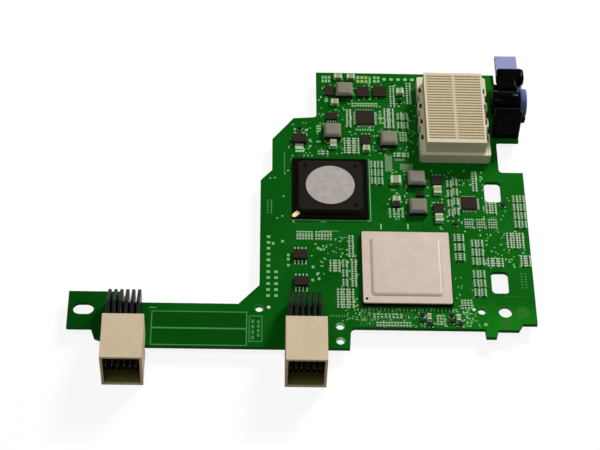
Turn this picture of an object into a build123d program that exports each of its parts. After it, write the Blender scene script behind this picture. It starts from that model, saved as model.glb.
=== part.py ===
from build123d import *
import os

# Expansion card with two backplane headers and a mezzanine connector. Sizes in millimetres.
# Places on the board are given as (u, v): u from the left tab's edge, v from the strip's front edge.
# The part's own origin is the centre of the mounting hole, on the board's top face.

# Big chip with a metal lid: (u, v) of the middle
LID_CHIP = (115.6, 32.6)
LID_CHIP_SIDE = 31.0
LID_SIDE = 30.6
BALL_H = 0.5
BALL_SIZE = 0.6
BALL_PITCH = 3.0
BALL_INSET = 1.1
LID_SUBSTRATE_T = 1.1
LID_T = 0.6
LID_PAD_T = 0.6
LID_PAD_INSET = 2.9
LID_PAD_BEVEL = 1.6
LID_CORNER = 0.4
LID_LEFT = LID_CHIP[0] - LID_CHIP_SIDE / 2
LID_RIGHT = LID_CHIP[0] + LID_CHIP_SIDE / 2

# Second chip with a moulded cap and a heat slug: (u, v) of the middle
CAP_CHIP = (89.7, 68.1)
CAP_CHIP_SIDE = 27.0
CAP_SUBSTRATE_T = 0.6
CAP_SIDE = 23.8
CAP_T = 1.6
CAP_CORNER = 1.3
CAP_DRAFT = 0.75
SLUG_D = 17.4
SLUG_RISE = 0.1
SLUG_SEAT = 0.5
SLUG_CUT = 1.0
CORNER_MARK_LENGTH = 4.4
CORNER_MARK_WIDTH = 1.6
CORNER_MARK_T = 0.1
CAP_RIGHT = CAP_CHIP[0] + CAP_CHIP_SIDE / 2

# Small resistors and capacitors in fields: (u, v of the first, reach of the field across and along,
# pitch across and along, lying across). Those beside the lidded chip count u from its left edge.
CHIP_LONG = 1.5
CHIP_SHORT = 0.6
CHIP_H = 0.5
RIGHT_FIELDS = ((145.0, 35.0, 3.8, 3.0, 1.9, 1.0, True), (145.9, 58.4, 2.1, 4.2, 2.1, 1.05, True),
                (152.4, 43.2, 4.3, 6.0, 2.15, 1.0, True), (156.6, 35.3, 1.9, 4.0, 1.9, 1.0, True))
CONNECTOR_COLUMN = (119.6, 109.6, 0.0, 9.6, 1.0, 1.2, True)
UPPER_FIELDS = ((110.9, 97.6, 1.9, 8.82, 1.9, 0.98, True), (141.7, 68.4, 0.0, 8.4, 1.0, 1.05, True),
                (98.6, 108.4, 8.82, 0.0, 0.98, 1.0, False), (97.0, 97.8, 0.0, 7.84, 1.0, 0.98, True),
                (95.9, 85.2, 3.8, 6.6, 1.9, 1.1, True), (113.4, 108.0, 0.0, 9.6, 1.0, 1.2, True),
                (115.8, 92.0, 2.0, 2.4, 1.0, 2.4, False), (86.4, 84.4, 2.0, 1.2, 2.0, 1.2, True),
                (113.9, 84.0, 3.8, 1.1, 1.9, 1.1, True), (110.8, 56.6, 4.5, 2.2, 1.5, 2.2, False))
LOWER_FIELDS = ((78.0, 46.2, 5.0, 1.9, 1.0, 1.9, False), (84.6, 46.2, 5.0, 1.9, 1.0, 1.9, False),
                (105.0, 9.8, 11.0, 0.0, 1.0, 1.0, False), (104.0, 13.2, 9.1, 0.0, 1.3, 1.0, False),
                (134.3, 17.4, 3.15, 2.1, 1.05, 2.1, False), (125.6, 10.6, 2.2, 2.2, 1.1, 2.2, False))
LID_FIELDS = ((-2.6, 25.6, 0.0, 11.0, 2.0, 1.0, True), (-7.7, 16.6, 4.0, 7.35, 2.0, 1.05, True),
              (-3.4, 38.2, 0.0, 8.8, 1.0, 1.1, True), (-10.1, 31.8, 1.9, 4.4, 1.9, 1.1, True))

# Resistor arrays in fields, given in the same way, with the last value for standing along v.
# Those beside the two large chips count u from the chip's edge.
ARRAY_LONG = 3.3
ARRAY_SHORT = 1.6
ARRAY_H = 0.6
MIDDLE_ARRAYS = ((132.5, 58.0, 0.0, 13.2, 1.0, 4.4, True), (134.5, 58.8, 0.0, 13.2, 1.0, 4.4, True),
                 (115.8, 98.6, 2.2, 4.2, 2.2, 4.2, True), (138.6, 52.3, 8.4, 2.2, 4.2, 2.2, False))
EDGE_ARRAY = (155.8, 53.4, 2.4, 11.4, 2.4, 3.8, True)
LID_RIGHT_ARRAYS = ((2.7, 38.6, 1.7, 8.4, 1.7, 4.2, True), (8.7, 36.8, 2.3, 7.8, 2.3, 3.9, True),
                    (8.6, 23.5, 2.3, 7.8, 2.3, 3.9, True))
LID_LEFT_ARRAYS = ((-5.7, 26.8, 0.0, 8.0, 1.0, 4.0, True),)
CAP_ARRAYS = ((2.2, 72.2, 2.5, 7.6, 2.5, 3.8, True),)

# Grey power inductors: (u, v) of the middle, the one in front of the mezzanine connector by itself
FRONT_INDUCTOR = (120.7, 72.6)
INDUCTORS = (FRONT_INDUCTOR, (95.6, 114.6), (90.9, 94.4), (111.4, 91.0), (120.8, 59.7))
INDUCTOR_WIDTH = 6.4
INDUCTOR_LENGTH = 6.6
INDUCTOR_H = 3.0
INDUCTOR_BEVEL = 0.9

# Tan capacitors: (u, v, width, length), the two at the board's back edge by themselves
BACK_CAPS = ((93.4, 121.9, 2.8, 2.2), (98.2, 121.9, 2.8, 2.2))
INNER_CAPS = (
    (116.4, 114.9, 2.6, 2.6), (92.0, 109.2, 2.6, 2.4), (91.2, 89.0, 2.4, 3.2), (113.4, 72.4, 3.6, 3.4),
    (113.4, 63.6, 2.6, 2.2), (103.2, 87.0, 2.4, 2.4), (128.2, 68.0, 2.8, 3.2), (128.2, 55.4, 2.8, 3.2),
    (122.7, 12.6, 1.4, 2.4), (132.7, 12.4, 1.4, 2.4))
TAN_CAPS = BACK_CAPS + INNER_CAPS
TAN_CAP_H = 1.4

# Mezzanine connector, set off from the chips beside it and the inductor in front of it
MEZZ_SIDE_GAP = 2.05
MEZZ_FRONT_GAP = 5.4
MEZZ_WIDTH = 25.6
MEZZ_LENGTH = 37.7
MEZZ_BASE_H = 4.5
MEZZ_TOP = 10.2
MEZZ_CORNER = 0.5
MEZZ_BLOCK_WIDTH = 21.5
MEZZ_BLOCK_FRONT = 1.2
MEZZ_BLOCK_LENGTH = 33.6
MEZZ_RIB = 1.1
MEZZ_RIM = 0.8
MEZZ_FRONT_RIM = 1.8
MEZZ_SLOT_COUNT = 24
MEZZ_SLOT_W = 0.55
MEZZ_SLOT_DEPTH = 1.6
MEZZ_PORTS = 4
MEZZ_PORT_FRONT = 8.4
MEZZ_PORT_BACK = 6.7
MEZZ_SCALLOP_D = 0.7
MEZZ_SCALLOP_LENGTH = 3.4
MEZZ_PORT_LENGTH = 2.2
MEZZ_PORT_WIDTH = 0.9
MEZZ_PORT_DEPTH = 2.5
MEZZ_U = CONNECTOR_COLUMN[0] + CHIP_LONG / 2 + MEZZ_SIDE_GAP
MEZZ_V = FRONT_INDUCTOR[1] + INDUCTOR_LENGTH / 2 + MEZZ_FRONT_GAP

# Printed board
BOARD_T = 1.6
BACK_MARGIN = 1.5
BOARD_BACK = BACK_CAPS[0][1] + BACK_CAPS[0][3] / 2 + BACK_MARGIN
CARRIER_GAP = 1.4
CARRIER_WIDTH = 9.8
CARRIER_LEFT = MEZZ_U + MEZZ_WIDTH + CARRIER_GAP
CARRIER_RIGHT = CARRIER_LEFT + CARRIER_WIDTH
EAR_RIGHT = CARRIER_RIGHT
EAR_LENGTH = 26.2
EDGE_MARGIN = 0.6
BOARD_RIGHT = EDGE_ARRAY[0] + EDGE_ARRAY[2] + ARRAY_SHORT / 2 + EDGE_MARGIN
CORNER_NOTCH_LENGTH = 6.1
CORNER_NOTCH_WIDTH = 7.2
CORNER_NOTCH_U = EAR_RIGHT - CORNER_NOTCH_WIDTH
EAR_BACK = BOARD_BACK - CORNER_NOTCH_LENGTH
EAR_FRONT = EAR_BACK - EAR_LENGTH
SIDE_NOTCH_INSET = 1.5
SIDE_NOTCH_LENGTH = 15.0
SIDE_NOTCH_U = CARRIER_LEFT + SIDE_NOTCH_INSET
SIDE_NOTCH_FRONT = EAR_FRONT - SIDE_NOTCH_LENGTH
STRIP_FRONT = 0.0
STRIP_BACK = 17.6
STRIP_END_GAP = 4.5
STRIP_END = LID_LEFT - STRIP_END_GAP
TAB_BACK = 22.0
TAB_STEP = 5.4
TAB_SLOPE = 1.6
HEADER_OVERLAP = 1.0
LOWER_EDGE = 8.5
LOWER_STEP = 0.5
# Corners of the outline: the left tab's front, the front lugs from the right edge, the left of the back
TAB_CORNERS = ((0.0, 7.1), (8.3, 7.1), (9.6, 3.2), (11.6, 2.4))
LUG_CORNERS = ((-17.7, 5.2), (-14.2, 5.2), (-13.4, 8.2), (-6.4, 8.2), (-4.9, 10.8), (0.0, 10.8))
LUG_LEFT = 18.0
BACK_CORNERS = ((85.2, 102.3), (76.7, 101.6), (69.0, 91.4), (69.0, 76.8), (64.9, 72.0), (64.9, 25.6))
STRIP_CORNER_U = 57.8
LOWER_EDGE_R = 1.6
NOTCH_FRONT_R = 1.4
EAR_R = 1.2
CORNER_NOTCH_R = 2.6
BACK_STEP_R = 1.4
MOUNT_EDGE = 10.6
DATUM_U = BOARD_RIGHT - MOUNT_EDGE
DATUM_V = 15.8
MOUNT_HOLE_D = 4.8
SLOT_CENTRE = (5.3, 14.9)
SLOT_LENGTH = 7.2
SLOT_WIDTH = 4.8
WINDOW_EDGE = 11.6
WINDOW_U = BOARD_RIGHT - WINDOW_EDGE
WINDOW_VS = (28.1, 68.1)
WINDOW_WIDTH = 6.0
WINDOW_LENGTH = 9.3
WINDOW_R = 1.5
GUIDE_HOLE_D = 2.9
STRIP_HOLE_EDGE = 3.2
STRIP_HOLE_VS = (8.9, 2.9)
RIGHT_HOLE_EDGE = 18.7
LEFT_HOLE = (64.9, 15.8)
RIGHT_HOLE_V = 15.9
GUIDE_HOLES = tuple((STRIP_END - STRIP_HOLE_EDGE, v) for v in STRIP_HOLE_VS) + (
    (BOARD_RIGHT - RIGHT_HOLE_EDGE, RIGHT_HOLE_V), LEFT_HOLE)

# Backplane headers
HEADER_LEFT_U = 12.9
HEADER_END_GAP = 8.0
HEADER_FRONT = -12.9
HEADER_DEPTH = 17.5
HEADER_TOP = 12.0
HEADER_DROP = 4.5
HEADER_WALL = 0.9
HEADER_FLOOR = 1.3
HEADER_EDGE_CLEAR = 0.3
HEADER_KEY_SPACE = 1.9
WAFER_COUNT = 6
WAFER_PITCH = 2.0
WAFER_T = 1.2
WAFER_SIDE_CLEAR = 0.1
HEADER_WIDTH = WAFER_COUNT * WAFER_PITCH + HEADER_KEY_SPACE
HEADER_RIGHT_U = STRIP_END - HEADER_END_GAP - HEADER_WIDTH
SOCKET_DEPTH = 4.9
WAFER_FRONT = HEADER_FRONT + SOCKET_DEPTH
WAFER_BEND_V = 10.6
WAFER_BACK_V = 18.4
WAFER_BACK_H = 6.6
WAFER_HEEL = 1.2
WAFER_ROOF_CLEAR = 0.2
BLADE_LEVELS = 2
BLADE_LENGTH = 2.0
BLADE_T = 0.3
BLADE_W = 0.9
TAIL_SIZE = 0.5
TAIL_LENGTH = 1.2
TAIL_FIRST_V = 2.4
TAIL_PITCH = 5.2
TAIL_ROWS = 2

# Release lever and its carrier
CARRIER_INSET = 1.1
CARRIER_FRONT = EAR_FRONT + CARRIER_INSET
CARRIER_POST_DEPTH = 4.6
CARRIER_POST_H = 13.5
CARRIER_POST_BEVEL = 1.5
CARRIER_FOOT_H = 2.6
CARRIER_FOOT_INSET = 0.4
CARRIER_FOOT_BACK_INSET = 0.6
HOOD_WIDTH = 6.4
HOOD_OVERHANG = 2.8
HOOD_LENGTH = 10.5
HOOD_TOP = 8.2
HOOD_R = 1.2
HEAD_LENGTH = 5.6
HEAD_LEFT_REACH = 0.8
HEAD_RIGHT_REACH = 0.3
NECK_INSET = 1.2
NECK_DROP = 1.0
LUG_REACH = 1.8
LUG_DEPTH = 2.4
LUG_Z = 5.8
LUG_H = 3.2
PIVOT_SETBACK = 12.2
PIVOT_V = CARRIER_FRONT + PIVOT_SETBACK
PIVOT_Z = 6.0
BARREL_D = 9.0
LEVER_GAP = 0.5
LEVER_ARM_T = 2.2
LEVER_BOSS_D = 10.4
LEVER_STUB_D = 3.2
LEVER_STUB_LENGTH = 5.0
LEVER_STUB_CLEAR = 0.08
LEVER_TAB_SIDE = 6.6
LEVER_TAB_CLEAR = 3.0
LEVER_TAB_LENGTH = 10.4
LEVER_TAB_TOP = 3.0
LEVER_TAB_T = 1.8
LEVER_NOSE_LENGTH = 6.0
LEVER_NOSE_INSET = 1.1
HOOD_LEFT = CARRIER_RIGHT - HOOD_WIDTH
HOOD_BACK = EAR_BACK + HOOD_OVERHANG
LEVER_TAB_LEFT = CARRIER_RIGHT - LEVER_TAB_SIDE
LEVER_TAB_FRONT = EAR_BACK + LEVER_TAB_CLEAR
LEVER_TAB_BACK = LEVER_TAB_FRONT + LEVER_TAB_LENGTH

# Chips with leads on four sides: (u, v) of the middle
CONTROL_CHIP = (103.1, 102.0)
CONTROL_SIDE = 6.8
CLOCK_CHIP = (139.2, 62.4)
CLOCK_SIDE = 5.6
QUAD_LIFT = 0.1
QUAD_H = 1.0
QUAD_BEVEL = 0.2
QUAD_LEADS = 4
QUAD_LEAD_PITCH = 1.2
QUAD_LEAD_W = 0.3
QUAD_LEAD_T = 0.3
QUAD_LEAD_LENGTH = 0.9

# Memory chips with eight leads
MEMORY_CHIPS = ((79.0, 38.3), (79.3, 26.8))
MEMORY_WIDTH = 4.9
MEMORY_LENGTH = 3.9
MEMORY_H = 1.5
MEMORY_LEAD_COUNT = 4
MEMORY_LEAD_PITCH = 1.27
MEMORY_LEAD_W = 0.42
MEMORY_LEAD_LENGTH = 1.8
MEMORY_LEAD_T = 0.35

# Power transistor with a metal tab
TRANSISTORS = ((78.8, 91.0),)
TRANSISTOR_WIDTH = 5.0
TRANSISTOR_LENGTH = 4.0
TRANSISTOR_H = 1.7
TRANSISTOR_TAB_W = 3.0
TRANSISTOR_TAB_L = 2.4
TRANSISTOR_TAB_T = 0.4
TRANSISTOR_LEAD_W = 0.8
TRANSISTOR_LEAD_L = 1.5
TRANSISTOR_LEAD_PITCH = 3.0

# Leadless power chips: (u, v, width, length)
POWER_CHIPS = ((102.6, 114.6, 4.6, 4.8), (108.8, 114.8, 4.8, 4.8), (90.8, 102.3, 4.0, 3.4),
               (103.1, 91.2, 3.6, 4.6), (90.0, 114.8, 3.2, 4.6), (128.2, 72.5, 3.8, 4.2),
               (128.2, 59.8, 3.8, 4.2), (113.2, 61.0, 2.8, 1.6), (122.0, 66.2, 2.4, 2.0))
POWER_CHIP_H = 1.0

# Small black parts: (u, v)
BLACK_PARTS = ((116.2, 110.6), (79.0, 96.6), (133.9, 53.2), (151.4, 62.1), (120.4, 13.8),
               (120.4, 11.2), (130.4, 13.8), (130.4, 11.2), (133.4, 10.2), (123.2, 9.9))
BLACK_WIDTH = 1.5
BLACK_LENGTH = 1.3
BLACK_H = 0.9


# Placing: a block from its low corner, and a block from its middle
def block(u, v, z, width, length, height):
    corner = Pos(u - DATUM_U + width / 2, v - DATUM_V + length / 2, z + height / 2)
    return corner * Box(width, length, height)


def slab(u, v, z, width, length, height):
    return block(u - width / 2, v - length / 2, z, width, length, height)


def spot(u, v, z=0.0):
    return Pos(u - DATUM_U, v - DATUM_V, z)


def pin(u, v, z, diameter, height):
    return spot(u, v, z) * Cylinder(diameter / 2, height, align=(Align.CENTER, Align.CENTER, Align.MIN))


# A shape drawn in the v-z plane and drawn out along u
def side_profile(points, u, width):
    plane = Plane(origin=(u - DATUM_U, -DATUM_V, 0), x_dir=(0, 1, 0), z_dir=(1, 0, 0))
    face = plane * make_face(Polyline(*points, close=True))
    return extrude(face, amount=width, dir=(1, 0, 0))


def cross_pin(u, v, z, diameter, width):
    plane = Plane(origin=(u - DATUM_U, v - DATUM_V, z), x_dir=(0, 1, 0), z_dir=(1, 0, 0))
    return extrude(plane * Circle(diameter / 2), amount=width, dir=(1, 0, 0))


def upright_edges(solid):
    return solid.edges().filter_by(Axis.Z)


def save(name, pieces):
    if isinstance(pieces, list):
        pieces = Compound([piece.solid() for piece in pieces])
    else:
        pieces = pieces.solid()
    export_step(pieces, "parts/" + name + ".step")


# Printed board
def board_outline():
    hidden_u = HEADER_LEFT_U + HEADER_OVERLAP
    tab_step_u = HEADER_LEFT_U + TAB_STEP
    left = [(0.0, TAB_BACK), *TAB_CORNERS, (hidden_u, STRIP_FRONT), (STRIP_END, STRIP_FRONT)]
    front = [(STRIP_END + LOWER_STEP, LOWER_EDGE), (BOARD_RIGHT - LUG_LEFT, LOWER_EDGE)]
    front += [(BOARD_RIGHT + u, v) for u, v in LUG_CORNERS]
    right = [(BOARD_RIGHT, SIDE_NOTCH_FRONT), (SIDE_NOTCH_U, SIDE_NOTCH_FRONT), (SIDE_NOTCH_U, EAR_FRONT),
             (EAR_RIGHT, EAR_FRONT), (EAR_RIGHT, EAR_BACK), (CORNER_NOTCH_U, EAR_BACK)]
    back = [(CORNER_NOTCH_U, BOARD_BACK), (BACK_CORNERS[0][0], BOARD_BACK), *BACK_CORNERS]
    strip = [(STRIP_CORNER_U, STRIP_BACK), (tab_step_u + TAB_SLOPE, STRIP_BACK), (tab_step_u, TAB_BACK)]
    return left + front + right + back + strip


def board_corner_radii():
    return {(STRIP_END + LOWER_STEP, LOWER_EDGE): LOWER_EDGE_R, (SIDE_NOTCH_U, SIDE_NOTCH_FRONT): NOTCH_FRONT_R,
            (SIDE_NOTCH_U, EAR_FRONT): EAR_R, (CORNER_NOTCH_U, EAR_BACK): CORNER_NOTCH_R,
            BACK_CORNERS[0]: BACK_STEP_R}


def make_board():
    face = make_face(Polyline(*board_outline(), close=True))
    for (u, v), radius in board_corner_radii().items():
        face = fillet(face.vertices().sort_by_distance((u, v, 0))[0], radius)
        face = face if isinstance(face, Sketch) else Sketch() + face
    cuts = [Pos(DATUM_U, DATUM_V) * Circle(MOUNT_HOLE_D / 2)]
    cuts.append(Pos(*SLOT_CENTRE) * SlotOverall(SLOT_LENGTH, SLOT_WIDTH))
    cuts += [Pos(WINDOW_U, v) * RectangleRounded(WINDOW_WIDTH, WINDOW_LENGTH, WINDOW_R) for v in WINDOW_VS]
    cuts += [Pos(u, v) * Circle(GUIDE_HOLE_D / 2) for u, v in GUIDE_HOLES]
    for cut in cuts:
        face -= cut
    return spot(0, 0, -BOARD_T) * extrude(face, amount=BOARD_T, dir=(0, 0, 1))


# Backplane headers: a beige tube, open in front, round black wafers that stand on the board
def heel_v():
    return STRIP_FRONT - HEADER_EDGE_CLEAR - HEADER_WALL


def header_shroud(u):
    height = HEADER_TOP + HEADER_DROP
    shell = block(u, HEADER_FRONT, -HEADER_DROP, HEADER_WIDTH, HEADER_DEPTH, height)
    step_v = STRIP_FRONT - HEADER_EDGE_CLEAR
    back = HEADER_FRONT + HEADER_DEPTH
    shell -= block(u, step_v, -HEADER_DROP, HEADER_WIDTH, back - step_v, HEADER_DROP)
    hole_w = HEADER_WIDTH - 2 * HEADER_WALL
    pocket_l = heel_v() - HEADER_FRONT
    floor = HEADER_FLOOR - HEADER_DROP
    roof = HEADER_TOP - HEADER_WALL
    shell -= block(u + HEADER_WALL, HEADER_FRONT, floor, hole_w, pocket_l, roof - floor)
    shell -= block(u + HEADER_WALL, heel_v(), 0, hole_w, back - heel_v(), roof)
    return shell


def wafer_us(u):
    first = u + HEADER_WALL + WAFER_SIDE_CLEAR + WAFER_T / 2
    return [first + WAFER_PITCH * i for i in range(WAFER_COUNT)]


def header_wafers(u):
    top = HEADER_TOP - HEADER_WALL - WAFER_ROOF_CLEAR
    low = HEADER_FLOOR - HEADER_DROP + WAFER_ROOF_CLEAR
    heel = heel_v() - WAFER_ROOF_CLEAR
    points = [(WAFER_FRONT, low), (heel, low), (heel, 0), (WAFER_BACK_V - WAFER_HEEL, 0),
              (WAFER_BACK_V, WAFER_HEEL), (WAFER_BACK_V, WAFER_BACK_H), (WAFER_BEND_V, top), (WAFER_FRONT, top)]
    return [side_profile(points, wafer_u - WAFER_T / 2, WAFER_T) for wafer_u in wafer_us(u)]


def blade_zs():
    step = (HEADER_TOP - HEADER_WALL - WAFER_ROOF_CLEAR) / BLADE_LEVELS
    return [step * (i + 0.5) for i in range(BLADE_LEVELS)]


def header_blades(u):
    front = WAFER_FRONT - BLADE_LENGTH
    return [block(wafer_u - BLADE_T / 2, front, z - BLADE_W / 2, BLADE_T, BLADE_LENGTH, BLADE_W)
            for wafer_u in wafer_us(u) for z in blade_zs()]


def header_tails(u):
    return [slab(wafer_u, TAIL_FIRST_V + TAIL_PITCH * i, -BOARD_T - TAIL_LENGTH, TAIL_SIZE, TAIL_SIZE, TAIL_LENGTH)
            for wafer_u in wafer_us(u) for i in range(TAIL_ROWS)]


# Mezzanine connector: a base with scalloped sides, and a slotted block on it
def mezz_base():
    base = block(MEZZ_U, MEZZ_V, 0, MEZZ_WIDTH, MEZZ_LENGTH, MEZZ_BASE_H)
    base = chamfer(upright_edges(base), MEZZ_CORNER)
    first = MEZZ_V + MEZZ_PORT_FRONT
    step = (MEZZ_LENGTH - MEZZ_PORT_FRONT - MEZZ_PORT_BACK) / (MEZZ_PORTS - 1)
    right = MEZZ_U + MEZZ_WIDTH
    for i in range(MEZZ_PORTS - 1):
        v = first + step * (i + 0.5) - MEZZ_SCALLOP_LENGTH / 2
        for u in (MEZZ_U, right - MEZZ_SCALLOP_D):
            base -= block(u, v, 0, MEZZ_SCALLOP_D, MEZZ_SCALLOP_LENGTH, MEZZ_BASE_H)
    port_z = MEZZ_BASE_H - MEZZ_PORT_DEPTH
    margin = (MEZZ_WIDTH - MEZZ_BLOCK_WIDTH) / 2
    for i in range(MEZZ_PORTS):
        v = first + step * i
        for u in (MEZZ_U + margin / 2, right - margin / 2):
            base -= slab(u, v, port_z, MEZZ_PORT_WIDTH, MEZZ_PORT_LENGTH, MEZZ_PORT_DEPTH)
    return base


def mezz_block():
    u = MEZZ_U + (MEZZ_WIDTH - MEZZ_BLOCK_WIDTH) / 2
    v = MEZZ_V + MEZZ_BLOCK_FRONT
    body = block(u, v, MEZZ_BASE_H, MEZZ_BLOCK_WIDTH, MEZZ_BLOCK_LENGTH, MEZZ_TOP - MEZZ_BASE_H)
    slot_length = (MEZZ_BLOCK_WIDTH - MEZZ_RIB) / 2 - MEZZ_RIM
    first = v + MEZZ_FRONT_RIM
    pitch = (MEZZ_BLOCK_LENGTH - MEZZ_FRONT_RIM - MEZZ_RIM) / MEZZ_SLOT_COUNT
    floor = MEZZ_TOP - MEZZ_SLOT_DEPTH
    right_u = u + MEZZ_BLOCK_WIDTH - MEZZ_RIM - slot_length
    slots = [block(column, first + pitch * i, floor, slot_length, MEZZ_SLOT_W, MEZZ_SLOT_DEPTH)
             for column in (u + MEZZ_RIM, right_u) for i in range(MEZZ_SLOT_COUNT)]
    return body - slots


# Chips on solder balls
def ball_rows(chip, side):
    count = int((side - 2 * BALL_INSET) / BALL_PITCH)
    reach = count * BALL_PITCH / 2
    steps = [BALL_PITCH * i - reach for i in range(count + 1)]
    places = [(s, -reach) for s in steps] + [(s, reach) for s in steps]
    places += [(-reach, s) for s in steps[1:-1]] + [(reach, s) for s in steps[1:-1]]
    return [slab(chip[0] + du, chip[1] + dv, 0, BALL_SIZE, BALL_SIZE, BALL_H) for du, dv in places]


def lid_substrate():
    return slab(*LID_CHIP, BALL_H, LID_CHIP_SIDE, LID_CHIP_SIDE, LID_SUBSTRATE_T)


def metal_lid():
    z = BALL_H + LID_SUBSTRATE_T
    lid = chamfer(upright_edges(slab(*LID_CHIP, z, LID_SIDE, LID_SIDE, LID_T)), LID_CORNER)
    side = LID_SIDE - 2 * LID_PAD_INSET
    foot = Rectangle(side, side)
    crown = Pos(0, 0, LID_PAD_T) * Rectangle(side - 2 * LID_PAD_BEVEL, side - 2 * LID_PAD_BEVEL)
    return lid + spot(*LID_CHIP, z + LID_T) * loft([foot.face(), crown.face()])


def cap_substrate():
    return slab(*CAP_CHIP, BALL_H, CAP_CHIP_SIDE, CAP_CHIP_SIDE, CAP_SUBSTRATE_T)


def cut_square(side):
    square = Rectangle(side, side)
    return chamfer(square.vertices(), CAP_CORNER)


def moulded_cap():
    z = BALL_H + CAP_SUBSTRATE_T
    foot = cut_square(CAP_SIDE)
    crown = Pos(0, 0, CAP_T) * cut_square(CAP_SIDE - 2 * CAP_DRAFT)
    cap = spot(*CAP_CHIP, z) * loft([foot.face(), crown.face()])
    return cap - pin(*CAP_CHIP, z + CAP_T - SLUG_SEAT, SLUG_D, SLUG_SEAT + SLUG_CUT)


def heat_slug():
    z = BALL_H + CAP_SUBSTRATE_T + CAP_T - SLUG_SEAT
    return pin(*CAP_CHIP, z, SLUG_D, SLUG_SEAT + SLUG_RISE)


def corner_mark():
    inset = (CAP_CHIP_SIDE - CAP_SIDE) / 2
    reach = CAP_CHIP_SIDE / 2 - inset
    u = CAP_CHIP[0] - reach
    v = CAP_CHIP[1] - reach
    mark = Rot(0, 0, 45) * Box(CORNER_MARK_LENGTH, CORNER_MARK_WIDTH, CORNER_MARK_T)
    mark &= Box(CORNER_MARK_LENGTH, CORNER_MARK_LENGTH, CORNER_MARK_T)
    mark = spot(u, v, BALL_H + CAP_SUBSTRATE_T + CORNER_MARK_T / 2) * mark
    mark &= slab(*CAP_CHIP, BALL_H, CAP_CHIP_SIDE, CAP_CHIP_SIDE, 2 * CAP_SUBSTRATE_T)
    return mark - moulded_cap()


# Release lever: the carrier stands on the board's ear, the lever turns in its barrel
def carrier():
    foot_back = EAR_BACK - CARRIER_FOOT_BACK_INSET
    foot_u = SIDE_NOTCH_U + CARRIER_FOOT_INSET
    body = block(CARRIER_LEFT, CARRIER_FRONT, 0, CARRIER_WIDTH, CARRIER_POST_DEPTH, CARRIER_POST_H)
    body = chamfer(body.edges().group_by(Axis.Z)[-1].sort_by(Axis.Y)[-1], CARRIER_POST_BEVEL)
    body += block(foot_u, CARRIER_FRONT, 0, CARRIER_RIGHT - foot_u, foot_back - CARRIER_FRONT, CARRIER_FOOT_H)
    body += cross_pin(CARRIER_LEFT, PIVOT_V, PIVOT_Z, BARREL_D, CARRIER_WIDTH)
    floor = LEVER_TAB_TOP + LEVER_GAP
    body += block(HOOD_LEFT, HOOD_BACK - HOOD_LENGTH, floor, HOOD_WIDTH, HOOD_LENGTH - HEAD_LENGTH, HOOD_TOP - floor)
    head_u = HOOD_LEFT - HEAD_LEFT_REACH
    head_width = CARRIER_RIGHT + LEVER_GAP + LEVER_ARM_T + HEAD_RIGHT_REACH - head_u
    head = block(head_u, HOOD_BACK - HEAD_LENGTH, floor, head_width, HEAD_LENGTH, HOOD_TOP - floor)
    body += fillet(head.edges().group_by(Axis.Z)[-1].filter_by(Axis.X).sort_by(Axis.Y)[-1], HOOD_R)
    body += block(HOOD_LEFT + NECK_INSET, PIVOT_V, CARRIER_FOOT_H, HOOD_WIDTH - 2 * NECK_INSET,
                  foot_back - PIVOT_V, HOOD_TOP - CARRIER_FOOT_H - NECK_DROP)
    lug_v = CARRIER_FRONT + CARRIER_POST_DEPTH - LUG_DEPTH
    body += block(CARRIER_RIGHT, lug_v, LUG_Z, LUG_REACH, LUG_DEPTH, LUG_H)
    bore = LEVER_STUB_D + 2 * LEVER_STUB_CLEAR
    depth = LEVER_STUB_LENGTH + LEVER_GAP
    return body - cross_pin(CARRIER_RIGHT - depth, PIVOT_V, PIVOT_Z, bore, depth)


def lever():
    arm_u = CARRIER_RIGHT + LEVER_GAP
    tab_z = LEVER_TAB_TOP - LEVER_TAB_T
    nose_v = LEVER_TAB_BACK - LEVER_NOSE_LENGTH
    half = LEVER_BOSS_D / 2
    under_head_v = HOOD_BACK - HEAD_LENGTH - LEVER_GAP
    points = [(PIVOT_V, PIVOT_Z + half), (under_head_v, LEVER_TAB_TOP), (nose_v, LEVER_TAB_TOP), (nose_v, tab_z),
              (LEVER_TAB_FRONT, tab_z), (PIVOT_V, PIVOT_Z - half)]
    arm = cross_pin(arm_u, PIVOT_V, PIVOT_Z, LEVER_BOSS_D, LEVER_ARM_T) + side_profile(points, arm_u, LEVER_ARM_T)
    tab = block(LEVER_TAB_LEFT, LEVER_TAB_FRONT, tab_z, arm_u + LEVER_ARM_T - LEVER_TAB_LEFT, LEVER_TAB_LENGTH,
                LEVER_TAB_T)
    tab -= block(arm_u + LEVER_NOSE_INSET, nose_v, tab_z, LEVER_ARM_T, LEVER_NOSE_LENGTH, LEVER_TAB_T)
    stub = cross_pin(arm_u - LEVER_GAP - LEVER_STUB_LENGTH, PIVOT_V, PIVOT_Z, LEVER_STUB_D,
                     LEVER_STUB_LENGTH + LEVER_GAP)
    return arm + tab + stub


# Power parts and small chips
def inductors():
    bodies = [slab(u, v, 0, INDUCTOR_WIDTH, INDUCTOR_LENGTH, INDUCTOR_H) for u, v in INDUCTORS]
    return [chamfer(body.edges().group_by(Axis.Z)[-1], INDUCTOR_BEVEL) for body in bodies]


def quad_chip(chip, side):
    body = slab(*chip, QUAD_LIFT, side, side, QUAD_H - QUAD_LIFT)
    return chamfer(body.edges().group_by(Axis.Z)[-1], QUAD_BEVEL)


def quad_leads(chip, side):
    half = side / 2 + QUAD_LEAD_LENGTH / 2
    start = -QUAD_LEAD_PITCH * (QUAD_LEADS - 1) / 2
    leads = []
    for i in range(QUAD_LEADS):
        s = start + QUAD_LEAD_PITCH * i
        for sign in (-1, 1):
            leads.append(slab(chip[0] + s, chip[1] + sign * half, 0, QUAD_LEAD_W, QUAD_LEAD_LENGTH, QUAD_LEAD_T))
            leads.append(slab(chip[0] + sign * half, chip[1] + s, 0, QUAD_LEAD_LENGTH, QUAD_LEAD_W, QUAD_LEAD_T))
    return leads


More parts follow.
